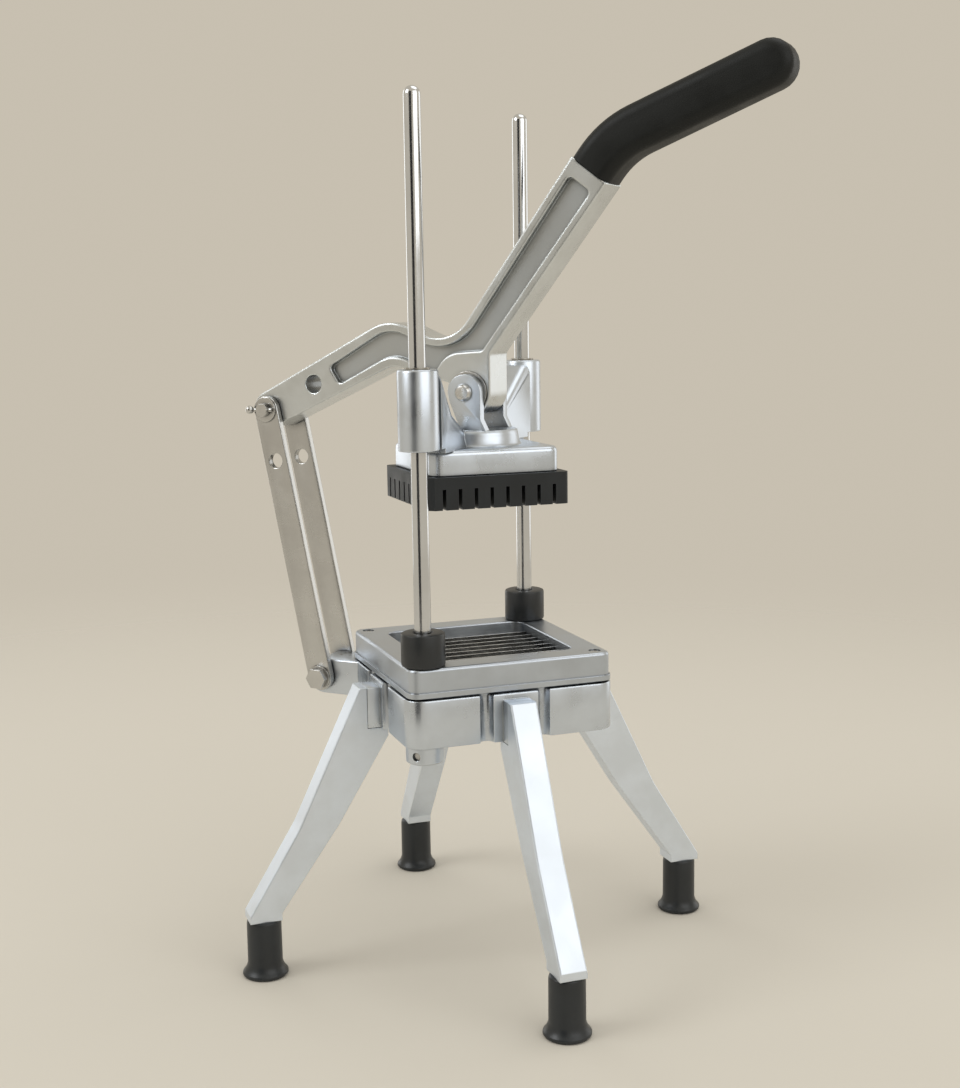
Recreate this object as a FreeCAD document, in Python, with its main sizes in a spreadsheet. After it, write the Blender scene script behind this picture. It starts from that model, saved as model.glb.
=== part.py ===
import FreeCAD, Part
import math
import os
import re
import Sketcher
from FreeCAD import Placement, Rotation, Vector

# Lever french fry cutter on four legs.
# The origin is on the ground below the middle of the square cutting head, +Z is up
# and +X points to the operator, where the handle is. The square frame stands with its
# corners on the axes: guide rods on the Y corners, link lug on the -X corner.
# "left" is the -Y side and "right" the +Y side.

SIZES = {
    # Guide rods and what slides on them
    "rod_diameter": 9.525,
    "rod_spacing": 141.86,
    "rod_top": 505.7,
    "rod_bottom": 136.0,
    "rod_seat_gap": 0.02,
    "running_gap": 0.05,
    "loose_gap": 0.3,
    "cut_over": 1.0,
    "bumper_diameter": 25.0,
    "bumper_height": 19.0,
    # Blade frame and blades
    "frame_side": 122.0,
    "frame_height": 16.5,
    "frame_corner": 6.0,
    "frame_lip": 1.0,
    "frame_lip_height": 3.0,
    "frame_edge": 2.0,
    "opening_side": 89.0,
    "opening_corner": 7.0,
    "blade_count": 8,
    "blade_pitch": 9.525,
    "blade_thickness": 0.8,
    "blade_height": 5.5,
    "blade_sink": 5.0,
    "frame_screw_reach": 75.5,
    "frame_screw_diameter": 4.0,
    "frame_screw_bite": 7.0,
    "frame_screw_tap": 12.0,
    "frame_screw_head": 6.8,
    "frame_screw_head_height": 2.4,
    "frame_screw_sink": 3.0,
    "frame_screw_sink_diameter": 7.2,
    # Base casting
    "base_side": 126.0,
    "base_bottom": 144.5,
    "base_height": 29.0,
    "base_corner": 7.0,
    "skirt_wall": 5.0,
    "deck_height": 6.0,
    "chute_side": 92.0,
    "chute_corner": 12.0,
    "boss_diameter": 22.0,
    "boss_drop": 10.0,
    "boss_screw_rise": 5.0,
    "set_screw_hole": 5.0,
    "set_screw_diameter": 4.9,
    "set_screw_length": 4.5,
    "pad_width": 42.0,
    "pad_proud": 1.5,
    "pad_height": 22.0,
    "flute_radius": 3.2,
    "flute_reach": 16.5,
    "lug_width": 25.0,
    "lug_radius": 11.0,
    # Legs and feet
    "leg_width": 16.0,
    "leg_top": 169.0,
    "leg_seat_reach": 72.0,
    "leg_top_land": 4.5,
    "leg_root_depth": 12.5,
    "leg_root_drop": 5.0,
    "leg_knee_reach": 42.5,
    "leg_knee_width": 24.0,
    "leg_knee_height": 89.2,
    "leg_ankle_height": 39.0,
    "leg_sole_width": 19.0,
    "leg_bend_round": 60.0,
    "leg_edge": 1.2,
    "casting_edge": 1.0,
    "leg_screw_height": 157.0,
    "leg_screw_bite": 3.5,
    "leg_screw_diameter": 6.0,
    "leg_screw_head": 10.0,
    "foot_reach": 136.2,
    "foot_height": 34.5,
    "foot_diameter": 19.6,
    "foot_flare": 27.0,
    "foot_flare_height": 4.0,
    "foot_taper_height": 9.0,
    "foot_rim": 1.0,
    "foot_swell": 0.3,
    "foot_socket": 12.0,
    "foot_socket_depth": 20.0,
    # Linkage
    "pin_diameter": 8.0,
    "link_foot_x": -101.5,
    "link_foot_z": 161.5,
    "link_head_x": -134.5,
    "link_head_z": 328.0,
    "link_width": 16.5,
    "link_thickness": 4.5,
    "link_hole_diameter": 9.2,
    "link_hole_drop": 32.0,
    "rear_pin_head": 12.8,
    "rear_pin_head_height": 3.0,
    "rear_pin_tail": 4.0,
    "hex_head_share": 0.55,
    "hex_corner_share": 0.85,
    "hex_nut_share": 0.8,
    "washer_height": 1.0,
    "washer_diameter": 15.0,
    "clip_diameter": 2.4,
    "clip_head_diameter": 5.2,
    "clip_length": 15.0,
    # Lever
    "pivot_x": 2.5,
    "pivot_z": 340.0,
    "pivot_pin_diameter": 6.0,
    "lever_width": 25.0,
    "lever_eye_diameter": 27.6,
    "rear_eye_diameter": 22.4,
    "hump_back": 52.0,
    "hump_rise": 43.1,
    "hump_round": 27.0,
    "hump_under_back": 49.5,
    "hump_under_rise": 15.4,
    "hump_under_round": 16.0,
    "valley_round": 24.0,
    "arm_foot_back": 2.7,
    "arm_foot_rise": 18.9,
    "arm_foot_width": 22.5,
    "arm_head_reach": 75.1,
    "arm_head_rise": 122.3,
    "arm_head_width": 25.5,
    "pocket_depth": 4.0,
    "rib": 5.0,
    "rear_web": 5.7,
    "lobe_radius": 21.0,
    "lever_hole_diameter": 11.2,
    "lever_hole_ahead": 32.3,
    "lever_hole_rise": 15.8,
    "slot_back": 4.6,
    "slot_front": 6.4,
    "slot_drop": 1.65,
    "slot_width": 11.2,
    "thrust_washer_diameter": 24.0,
    "thrust_washer_height": 0.8,
    "tang_width": 17.0,
    "tang_height": 15.0,
    # Grip
    "grip_width": 29.0,
    "grip_height": 26.2,
    "grip_bend_reach": 86.9,
    "grip_bend_rise": 138.0,
    "grip_end_reach": 177.5,
    "grip_end_rise": 170.8,
    "grip_bend_round": 66.0,
    "grip_edge": 7.5,
    # Pusher head
    "plate_side": 78.0,
    "plate_bottom": 294.4,
    "plate_height": 14.6,
    "plate_corner": 7.0,
    "plate_edge": 3.0,
    "sleeve_diameter": 22.9,
    "sleeve_bottom": 310.9,
    "sleeve_height": 44.6,
    "bush_diameter": 14.0,
    "bush_proud": 1.0,
    "gusset_width": 19.0,
    "gusset_inner_width": 13.0,
    "gusset_inner_reach": 21.0,
    "gusset_bite": 2.0,
    "ear_thickness": 5.0,
    "ear_radius": 10.0,
    "ear_toe": 12.0,
    "ear_heel": 0.5,
    "ear_flare": 2.0,
    "seat_sink": 1.0,
    "pedestal_diameter": 46.0,
    "pedestal_height": 9.0,
    "pedestal_edge": 2.5,
    # Pusher block
    "block_side": 85.2,
    "block_height": 18.6,
    "block_web": 6.8,
    "block_corner": 3.0,
    "block_clearance": 0.8,
    "tooth_slot": 2.2,
    "block_screw_teeth": 2,
    "block_screw_diameter": 4.0,
    "block_screw_head": 6.0,
    "block_screw_head_height": 3.5,
    "block_screw_roof": 3.0,
}

DOCUMENT = FreeCAD.newDocument("fry_cutter")
SHEET = DOCUMENT.addObject("Spreadsheet::Sheet", "sizes")
for row, (alias, value) in enumerate(SIZES.items(), start=1):
    SHEET.set(f"A{row}", alias)
    SHEET.set(f"B{row}", str(value))
    SHEET.setAlias(f"B{row}", alias)
DOCUMENT.recompute()

# Heights and reaches that follow from the driving dimensions.
ROD_REACH = "rod_spacing / 2"
BASE_TOP = "(base_bottom + base_height)"
FRAME_TOP = "(base_bottom + base_height + frame_height)"
BLADE_TOP = "(base_bottom + base_height + frame_height - blade_sink)"
PLATE_TOP = "(plate_bottom + plate_height)"
LINK_INNER = "(lever_width / 2 + loose_gap)"
LINK_OUTER = "(lever_width / 2 + loose_gap + link_thickness)"
EAR_INNER = "(lever_width / 2 + loose_gap + thrust_washer_height)"
EAR_OUTER = "(lever_width / 2 + loose_gap + thrust_washer_height + ear_thickness)"
DIAGONAL_TURN = Rotation(Vector(0, 0, 1), 45)
ALONG_Y = Rotation(Vector(1, 0, 0), -90)
ALONG_X = Rotation(Vector(0, 1, 0), 90)
LEG_ANGLES = {"front_left": -45, "front_right": 45, "rear_right": 135, "rear_left": -135}
SIDES = {"left": -1, "right": 1}

PARTS = []


def formula(text):
    """Point every alias in an expression at the sheet."""
    return re.sub(r"[a-z_]+", lambda word: f"sizes.{word[0]}" if word[0] in SIZES else word[0], str(text))


def number(alias):
    """Read a driving dimension back from the sheet."""
    return float(getattr(SHEET, alias))


def bind(feature, **expressions):
    """Bind properties of a feature to the sheet."""
    for name, text in expressions.items():
        feature.setExpression(name, formula(text))
    return feature


def place(feature, x=0, y=0, z=0, turn=None):
    """Turn a feature and bind its position to the sheet."""
    if turn is not None:
        feature.Placement = Placement(Vector(), turn)
    for axis, text in zip("xyz", (x, y, z)):
        feature.setExpression(f"Placement.Base.{axis}", formula(text))
    return feature


def new_part(name):
    """Start a sub-part as a body whose label names its node."""
    body = DOCUMENT.addObject("PartDesign::Body", name)
    body.Label = name
    PARTS.append(body)
    return body


def keep(feature, name):
    """Keep a finished object of the Part kind as a sub-part."""
    feature.Label = name
    PARTS.append(feature)
    return feature


def solid(body, kind, name, **expressions):
    """Add or cut a primitive in a body; kind is such as AdditiveBox."""
    feature = body.newObject(f"PartDesign::{kind}", name)
    feature.Refine = False
    return bind(feature, **expressions)


def make(kind, name, **expressions):
    """Make a free primitive of the Part kind."""
    return bind(DOCUMENT.addObject(f"Part::{kind}", name), **expressions)


def join(name, pieces):
    """Fuse primitives into one solid."""
    fused = DOCUMENT.addObject("Part::MultiFuse", name)
    fused.Shapes = pieces
    return fused


def group(name, pieces):
    """Keep separate like solids together as one node."""
    bundle = DOCUMENT.addObject("Part::Compound", f"{name}_group")
    bundle.Links = pieces
    return keep(bundle, name)


def sketch_on(body, name, plane, offset="0"):
    """Start a sketch on one of the body's own origin planes."""
    sketch = body.newObject("Sketcher::SketchObject", name)
    planes = [item for item in body.Origin.OriginFeatures if item.Role == plane]
    sketch.AttachmentSupport = [(planes[0], "")]
    sketch.MapMode = "FlatFace"
    sketch.setExpression("AttachmentOffset.Base.z", formula(offset))
    return sketch


def pin_point(sketch, edge, point, x, y):
    """Bind the place of a sketch point to the sheet."""
    for kind, text in (("DistanceX", x), ("DistanceY", y)):
        index = sketch.addConstraint(Sketcher.Constraint(kind, -1, 1, edge, point, 1.0))
        sketch.setExpression(f"Constraints[{index}]", formula(text))


def outline(body, name, plane, corners, offset="0", rounds=None):
    """Draw a closed outline with corners bound to the sheet, some of them rounded."""
    sketch = sketch_on(body, name, plane, offset)
    count = len(corners)
    rounds = rounds or {}
    ring_spots = [Vector(math.cos(2 * math.pi * i / count), math.sin(2 * math.pi * i / count), 0)
                  for i in range(count)]
    for i in range(count):
        sketch.addGeometry(Part.LineSegment(ring_spots[i], ring_spots[(i + 1) % count]), bool(rounds))
    for i in range(count):
        sketch.addConstraint(Sketcher.Constraint("Coincident", i, 2, (i + 1) % count, 1))
    for i, (x, y) in enumerate(corners):
        pin_point(sketch, i, 1, x, y)
    if rounds:
        sketch.recompute()
        round_outline(sketch, count, rounds)
    return sketch


def round_outline(sketch, count, rounds):
    """Redraw a guide polygon with arcs of bound radius at numbered corners."""
    points = [sketch.getPoint(i, 1) for i in range(count)]
    starts, ends, arcs = list(points), list(points), {}
    for i in rounds:
        probe = sketch.addGeometry(Part.Circle(points[i], Vector(0, 0, 1), 1), True)
        sketch.addConstraint(Sketcher.Constraint("Coincident", probe, 3, i, 1))
        index = sketch.addConstraint(Sketcher.Constraint("Radius", probe, 1.0))
        sketch.setExpression(f"Constraints[{index}]", formula(rounds[i]))
        arcs[i] = probe
    sketch.recompute()
    for i, probe in arcs.items():
        size = sketch.Geometry[probe].Radius
        back = (points[i - 1] - points[i]).normalize()
        ahead = (points[(i + 1) % count] - points[i]).normalize()
        half = back.getAngle(ahead) / 2
        ends[i] = points[i] + back * (size / math.tan(half))
        starts[i] = points[i] + ahead * (size / math.tan(half))
        centre = points[i] + (back + ahead).normalize() * (size / math.sin(half))
        middle = centre + (points[i] - centre).normalize() * size
        arcs[i] = sketch.addGeometry(Part.Arc(ends[i], middle, starts[i]))
        sketch.addConstraint(Sketcher.Constraint("Equal", arcs[i], probe))
    lines = [sketch.addGeometry(Part.LineSegment(starts[i], ends[(i + 1) % count])) for i in range(count)]
    for i in range(count):
        if i not in rounds:
            sketch.addConstraint(Sketcher.Constraint("Coincident", lines[i], 1, i, 1))
            sketch.addConstraint(Sketcher.Constraint("Coincident", lines[i - 1], 2, i, 1))
            continue
        drawn = sketch.getPoint(arcs[i], 1)
        first = 1 if (drawn - ends[i]).Length < (drawn - starts[i]).Length else 2
        sketch.addConstraint(Sketcher.Constraint("Tangent", lines[i - 1], 2, arcs[i], first))
        sketch.addConstraint(Sketcher.Constraint("Tangent", lines[i], 1, arcs[i], 3 - first))
        sketch.addConstraint(Sketcher.Constraint("PointOnObject", lines[i - 1], 2, (i - 1) % count))
        sketch.addConstraint(Sketcher.Constraint("PointOnObject", lines[i], 1, i))


def circle(body, name, plane, x, y, radius, offset="0"):
    """Draw a circle bound to the sheet."""
    sketch = sketch_on(body, name, plane, offset)
    sketch.addGeometry(Part.Circle(Vector(), Vector(0, 0, 1), 1))
    pin_point(sketch, 0, 3, x, y)
    index = sketch.addConstraint(Sketcher.Constraint("Radius", 0, 1.0))
    sketch.setExpression(f"Constraints[{index}]", formula(radius))
    return sketch


def capsule(body, name, plane, start, end, radius, offset="0"):
    """Draw a bar with round ends between two bound points."""
    sketch = sketch_on(body, name, plane, offset)
    up = Vector(0, 0, 1)
    sketch.addGeometry(Part.LineSegment(Vector(0, 0, 0), Vector(1, 0, 0)), True)
    sketch.addGeometry(Part.Circle(Vector(0, 0, 0), up, 1), True)
    pin_point(sketch, 0, 1, *start)
    pin_point(sketch, 0, 2, *end)
    sketch.addConstraint(Sketcher.Constraint("Coincident", 1, 3, 0, 1))
    index = sketch.addConstraint(Sketcher.Constraint("Radius", 1, 1.0))
    sketch.setExpression(f"Constraints[{index}]", formula(radius))
    sketch.recompute()
    foot, head = sketch.getPoint(0, 1), sketch.getPoint(0, 2)
    size = sketch.Geometry[1].Radius
    slope = math.atan2(head.y - foot.y, head.x - foot.x)
    side = Vector(-math.sin(slope), math.cos(slope), 0) * size
    quarter = math.pi / 2
    sketch.addGeometry(Part.ArcOfCircle(Part.Circle(head, up, size), slope - quarter, slope + quarter))
    sketch.addGeometry(Part.ArcOfCircle(Part.Circle(foot, up, size), slope + quarter, slope + 3 * quarter))
    sketch.addGeometry(Part.LineSegment(head + side, foot + side))
    sketch.addGeometry(Part.LineSegment(foot - side, head - side))
    for first, last in ((2, 4), (4, 3), (3, 5), (5, 2)):
        sketch.addConstraint(Sketcher.Constraint("Tangent", first, 2, last, 1))
    sketch.addConstraint(Sketcher.Constraint("Coincident", 2, 3, 0, 2))
    sketch.addConstraint(Sketcher.Constraint("Coincident", 3, 3, 0, 1))
    sketch.addConstraint(Sketcher.Constraint("Equal", 2, 1))
    return sketch


def pad(body, sketch, name, length, middle=False, back=False):
    """Extrude a sketch, to both sides if middle is set."""
    feature = body.newObject("PartDesign::Pad", name)
    feature.Profile = sketch
    feature.setExpression("Length", formula(length))
    feature.Midplane = middle
    feature.Reversed = back
    return feature


def pocket(body, sketch, name, length, middle=False, back=False):
    """Cut a sketch into the solid."""
    feature = body.newObject("PartDesign::Pocket", name)
    feature.Profile = sketch
    feature.setExpression("Length", formula(length))
    feature.Midplane = middle
    feature.Reversed = back
    return feature


def level_edges(shape, height, within=math.inf):
    """Name the edges that lie wholly at one height, inside a square about the Z axis."""
    names = []
    for index, edge in enumerate(shape.Edges, start=1):
        box = edge.BoundBox
        reach = max(-box.XMin, box.XMax, -box.YMin, box.YMax)
        if abs(box.ZMin - height) < 0.01 and abs(box.ZMax - height) < 0.01 and reach < within / 2 + 0.1:
            names.append(f"Edge{index}")
    return names


def side_edges(shape, half):
    """Name the edges that lie wholly in the two upright planes at a distance from the lever plane."""
    names = []
    for index, edge in enumerate(shape.Edges, start=1):
        box = edge.BoundBox
        if box.YLength < 0.01 and abs(abs(box.YMin) - half) < 0.01:
            names.append(f"Edge{index}")
    return names


def soften(body, names, size, name, kind="Fillet"):
    """Fillet or chamfer named edges of the body's last feature."""
    last = body.Tip
    feature = body.newObject(f"PartDesign::{kind}", name)
    feature.Base = (last, names)
    feature.setExpression("Radius" if kind == "Fillet" else "Size", formula(size))
    DOCUMENT.recompute()
    return feature


def square_corners(side):
    """Corners of a square whose sides lie along the body's own axes."""
    return [(f"-{side} / 2", f"-{side} / 2"), (f"{side} / 2", f"-{side} / 2"),
            (f"{side} / 2", f"{side} / 2"), (f"-{side} / 2", f"{side} / 2")]


def all_round(radius):
    """Round all four corners of a square alike."""
    return {corner: radius for corner in range(4)}


def square_pad(body, name, side, bottom, height, corner):
    """Add a square slab with round corners."""
    sketch = outline(body, f"{name}_outline", "XY_Plane", square_corners(side), bottom, all_round(corner))
    pad(body, sketch, name, height)


def base_casting():
    """Skirted base that carries everything, with rod bosses, leg seats and the link lug."""
    body = new_part("base_casting")
    body.Placement = Placement(Vector(), DIAGONAL_TURN)
    square_pad(body, "skirt", "base_side", "base_bottom", "base_height", "base_corner")
    DOCUMENT.recompute()
    top = number("base_bottom") + number("base_height")
    rims = level_edges(body.Tip.Shape, top) + level_edges(body.Tip.Shape, number("base_bottom"))
    soften(body, rims, "casting_edge", "skirt_edges")
    hollow = outline(body, "hollow_outline", "XY_Plane",
                     square_corners("(base_side - 2 * skirt_wall)"), "base_bottom")
    pocket(body, hollow, "hollow", "base_height - deck_height", back=True)
    chute = outline(body, "chute_outline", "XY_Plane", square_corners("chute_side"), "base_bottom",
                    all_round("chute_corner"))
    pocket(body, chute, "chute", "base_height", back=True)
    DOCUMENT.recompute()
    for side, way in SIDES.items():
        spot = f"{way} * rod_spacing / 2 / sqrt(2)"
        boss = solid(body, "AdditiveCylinder", f"rod_boss_{side}", Radius="boss_diameter / 2",
                     Height="base_height + boss_drop - deck_height / 2")
        place(boss, spot, spot, "base_bottom - boss_drop")
    for name, angle in LEG_ANGLES.items():
        leg_seat(body, name, angle - 45)
    lug = solid(body, "AdditiveBox", "lug_block", Length="-link_foot_x - base_side / 2 - 2 * skirt_wall",
                Width="lug_width", Height="2 * lug_radius")
    lug.Placement = Placement(Vector(), Rotation(Vector(0, 0, 1), -45))
    across = "lug_width / 2 / sqrt(2)"
    reach = "link_foot_x / sqrt(2)"
    place(lug, f"{reach} - {across}", f"-({reach}) - {across}", "link_foot_z - lug_radius")
    eye = solid(body, "AdditiveCylinder", "lug_eye", Radius="lug_radius", Height="lug_width")
    eye.Placement = Placement(Vector(), Rotation(Vector(0, 0, 1), -45).multiply(ALONG_Y))
    place(eye, f"{reach} - {across}", f"-({reach}) - {across}", "link_foot_z")
    bore = solid(body, "SubtractiveCylinder", "lug_bore", Radius="pin_diameter / 2 + rod_seat_gap",
                 Height="lug_width + 4 * cut_over")
    bore.Placement = Placement(Vector(), Rotation(Vector(0, 0, 1), -45).multiply(ALONG_Y))
    past = "(lug_width / 2 + 2 * cut_over) / sqrt(2)"
    place(bore, f"{reach} - {past}", f"-({reach}) - {past}", "link_foot_z")
    for side, way in SIDES.items():
        spot = f"{way} * rod_spacing / 2 / sqrt(2)"
        seat = solid(body, "SubtractiveCylinder", f"rod_seat_{side}",
                     Radius="rod_diameter / 2 + rod_seat_gap", Height="base_height + boss_drop")
        place(seat, spot, spot, "rod_bottom")
        hole = solid(body, "SubtractiveCylinder", f"set_screw_hole_{side}", Radius="set_screw_hole / 2",
                     Height="boss_diameter")
        hole.Placement = Placement(Vector(), Rotation(Vector(0, 0, 1), -45).multiply(
            Rotation(Vector(1, 0, 0), -90 * way)))
        place(hole, spot, spot, "base_bottom - boss_drop + boss_screw_rise")
    for way, name in ((-1, "rear"), (1, "front")):
        hole = solid(body, "SubtractiveCylinder", f"frame_screw_hole_{name}",
                     Radius="frame_screw_diameter / 2 + rod_seat_gap", Height="base_height")
        place(hole, f"{way} * frame_screw_reach / sqrt(2)", f"-{way} * frame_screw_reach / sqrt(2)",
              f"{BASE_TOP} - frame_screw_tap")
    return body


def leg_seat(body, name, angle):
    """Pad, block and flutes on the skirt that a leg is screwed to."""
    turn = Rotation(Vector(0, 0, 1), angle)
    way = turn.multVec(Vector(1, 0, 0))
    side = turn.multVec(Vector(0, 1, 0))
    back_reach = "(base_side / 2 - skirt_wall / 2)"

    def spot(reach, shift):
        return (f"{way.x:.6f} * ({reach}) + {side.x:.6f} * ({shift})",
                f"{way.y:.6f} * ({reach}) + {side.y:.6f} * ({shift})")

    plate = solid(body, "AdditiveBox", f"pad_{name}", Length="pad_proud + skirt_wall / 2",
                  Width="pad_width", Height="pad_height")
    plate.Placement = Placement(Vector(), turn)
    place(plate, *spot(back_reach, "-pad_width / 2"), "base_bottom")
    block = solid(body, "AdditiveBox", f"seat_{name}",
                  Length=f"leg_seat_reach - {back_reach}", Width="leg_width",
                  Height="leg_top - base_bottom")
    block.Placement = Placement(Vector(), turn)
    place(block, *spot(back_reach, "-leg_width / 2"), "base_bottom")
    for way_sign in (-1, 1):
        flute = solid(body, "SubtractiveCylinder", f"flute_{name}_{'a' if way_sign < 0 else 'b'}",
                      Radius="flute_radius", Height="base_height")
        place(flute, *spot("base_side / 2 + pad_proud + cut_over", f"{way_sign} * flute_reach"),
              "base_bottom - cut_over")
    hole = solid(body, "SubtractiveCylinder", f"leg_screw_hole_{name}",
                 Radius="leg_screw_diameter / 2 + rod_seat_gap",
                 Height="leg_seat_reach - base_side / 2 + 2 * skirt_wall")
    hole.Placement = Placement(Vector(), turn.multiply(ALONG_X))
    place(hole, *spot("base_side / 2 - 2 * skirt_wall", "0"), "leg_screw_height")


def leg(name, angle):
    """Tapered cast leg, screwed to its seat and plugged into its foot."""
    body = new_part(f"leg_{name}")
    corners = [
        ("leg_seat_reach", "leg_top"),
        ("leg_seat_reach + leg_top_land", "leg_top"),
        ("leg_seat_reach + leg_knee_reach", "leg_knee_height"),
        ("foot_reach + leg_sole_width / 2", "leg_ankle_height"),
        ("foot_reach + leg_sole_width / 2", "foot_height"),
        ("foot_reach - leg_sole_width / 2", "foot_height"),
        ("foot_reach - leg_sole_width / 2", "leg_ankle_height"),
        ("leg_seat_reach + leg_knee_reach - leg_knee_width", "leg_knee_height"),
        ("leg_seat_reach - leg_root_depth", "base_bottom - leg_root_drop"),
        ("leg_seat_reach - leg_root_depth", "base_bottom"),
        ("leg_seat_reach", "base_bottom"),
    ]
    rounds = {2: "leg_bend_round", 7: "leg_bend_round"}
    profile = outline(body, f"leg_outline_{name}", "XZ_Plane", corners, rounds=rounds)
    pad(body, profile, f"leg_pad_{name}", "leg_width", middle=True)
    DOCUMENT.recompute()
    outer = leg_front_edges(body.Tip.Shape)
    soften(body, outer, "leg_edge", f"leg_edges_{name}")
    spigot = solid(body, "AdditiveCylinder", f"leg_spigot_{name}",
                   Radius="foot_socket / 2 - rod_seat_gap", Height="foot_socket_depth")
    place(spigot, "foot_reach", 0, "foot_height - foot_socket_depth + loose_gap")
    hole = solid(body, "SubtractiveCylinder", f"leg_screw_seat_{name}",
                 Radius="leg_screw_diameter / 2 + rod_seat_gap",
                 Height="leg_screw_bite + loose_gap + cut_over")
    place(hole, "leg_seat_reach - cut_over", 0, "leg_screw_height", ALONG_X)
    body.Placement = Placement(Vector(), Rotation(Vector(0, 0, 1), angle))


def leg_front_edges(shape):
    """Name the long edges of a leg that run down its two outer corners."""
    names = []
    half = number("leg_width") / 2
    for index, edge in enumerate(shape.Edges, start=1):
        box = edge.BoundBox
        middle = edge.valueAt((edge.FirstParameter + edge.LastParameter) / 2)
        on_side = abs(abs(middle.y) - half) < 0.01 and box.YLength < 0.01 and box.ZLength > half
        beyond = shape.isInside(middle + Vector(1, 0, 0) - Vector(0, middle.y, 0), 0.01, True)
        if on_side and not beyond:
            names.append(f"Edge{index}")
    return names


def foot(name, angle):
    """Rubber boot with a flared sole."""
    body = new_part(f"foot_{name}")
    profile = outline(body, f"foot_outline_{name}", "XZ_Plane", [
        ("0", "0"),
        ("foot_flare / 2 - foot_rim", "0"),
        ("foot_flare / 2", "foot_rim"),
        ("foot_flare / 2 - foot_rim / 2", "foot_flare_height"),
        ("foot_diameter / 2 + foot_swell", "foot_taper_height"),
        ("foot_diameter / 2", "foot_height"),
        ("foot_socket / 2", "foot_height"),
        ("foot_socket / 2", "foot_height - foot_socket_depth"),
        ("0", "foot_height - foot_socket_depth"),
    ])
    turned = body.newObject("PartDesign::Revolution", f"foot_turned_{name}")
    turned.Profile = profile
    turned.ReferenceAxis = (profile, ["V_Axis"])
    turned.Angle = 360
    turn = Rotation(Vector(0, 0, 1), angle)
    way = turn.multVec(Vector(1, 0, 0))
    place(body, f"{way.x:.6f} * foot_reach", f"{way.y:.6f} * foot_reach", 0)


def leg_screws():
    """Socket head screws that hold the legs from inside the skirt."""
    screws = []
    for name, angle in LEG_ANGLES.items():
        turn = Rotation(Vector(0, 0, 1), angle)
        way = turn.multVec(Vector(1, 0, 0))
        shank = make("Cylinder", f"leg_screw_shank_{name}", Radius="leg_screw_diameter / 2",
                     Height="leg_seat_reach + leg_screw_bite - base_side / 2 + skirt_wall")
        head = make("Cylinder", f"leg_screw_cap_{name}", Radius="leg_screw_head / 2",
                    Height="leg_screw_head / 2")
        for piece, reach in ((shank, "base_side / 2 - skirt_wall"),
                             (head, "base_side / 2 - skirt_wall - leg_screw_head / 2")):
            piece.Placement = Placement(Vector(), turn.multiply(ALONG_X))
            place(piece, f"{way.x:.6f} * ({reach})", f"{way.y:.6f} * ({reach})", "leg_screw_height")
        screws.append(join(f"leg_screw_{name}", [shank, head]))
    group("leg_screws", screws)


def blade_frame():
    """Square frame on the base, open in the middle, that holds the blades."""
    body = new_part("blade_frame")
    body.Placement = Placement(Vector(), DIAGONAL_TURN)
    square_pad(body, "frame_block", "frame_side", BASE_TOP, "frame_height", "frame_corner")
    DOCUMENT.recompute()
    top = number("base_bottom") + number("base_height") + number("frame_height")
    soften(body, level_edges(body.Tip.Shape, top), "frame_edge", "frame_top_edge")
    square_pad(body, "frame_flange", "(frame_side + 2 * frame_lip)", BASE_TOP, "frame_lip_height",
               "frame_corner + frame_lip")
    opening = outline(body, "opening_outline", "XY_Plane", square_corners("opening_side"), BASE_TOP,
                      all_round("opening_corner"))
    pocket(body, opening, "opening", "frame_height", back=True)
    DOCUMENT.recompute()
    soften(body, level_edges(body.Tip.Shape, top, number("opening_side")), "casting_edge", "opening_edge")
    for side, way in SIDES.items():
        spot = f"{way} * rod_spacing / 2 / sqrt(2)"
        hole = solid(body, "SubtractiveCylinder", f"frame_rod_hole_{side}",
                     Radius="rod_diameter / 2 + loose_gap", Height="frame_height + 2 * cut_over")
        place(hole, spot, spot, f"{BASE_TOP} - cut_over")
    for way, name in ((-1, "rear"), (1, "front")):
        x = f"{way} * frame_screw_reach / sqrt(2)"
        y = f"-{way} * frame_screw_reach / sqrt(2)"
        hole = solid(body, "SubtractiveCylinder", f"frame_screw_way_{name}",
                     Radius="frame_screw_diameter / 2 + rod_seat_gap", Height="frame_height + 2 * cut_over")
        place(hole, x, y, f"{BASE_TOP} - cut_over")
        sink = solid(body, "SubtractiveCylinder", f"frame_screw_sink_{name}",
                     Radius="frame_screw_sink_diameter / 2", Height="frame_screw_sink + cut_over")
        place(sink, x, y, f"{FRAME_TOP} - frame_screw_sink")


def frame_screws():
    """Two screws that hold the blade frame down."""
    screws = []
    for way, name in ((-1, "rear"), (1, "front")):
        shank = make("Cylinder", f"frame_screw_shank_{name}", Radius="frame_screw_diameter / 2",
                     Height="frame_height - frame_screw_sink + frame_screw_bite")
        head = make("Cylinder", f"frame_screw_head_{name}", Radius="frame_screw_head / 2",
                    Height="frame_screw_head_height")
        place(shank, f"{way} * frame_screw_reach", 0, f"{BASE_TOP} - frame_screw_bite")
        place(head, f"{way} * frame_screw_reach", 0, f"{FRAME_TOP} - frame_screw_sink")
        screws.append(join(f"frame_screw_{name}", [shank, head]))
    group("frame_screws", screws)


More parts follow.
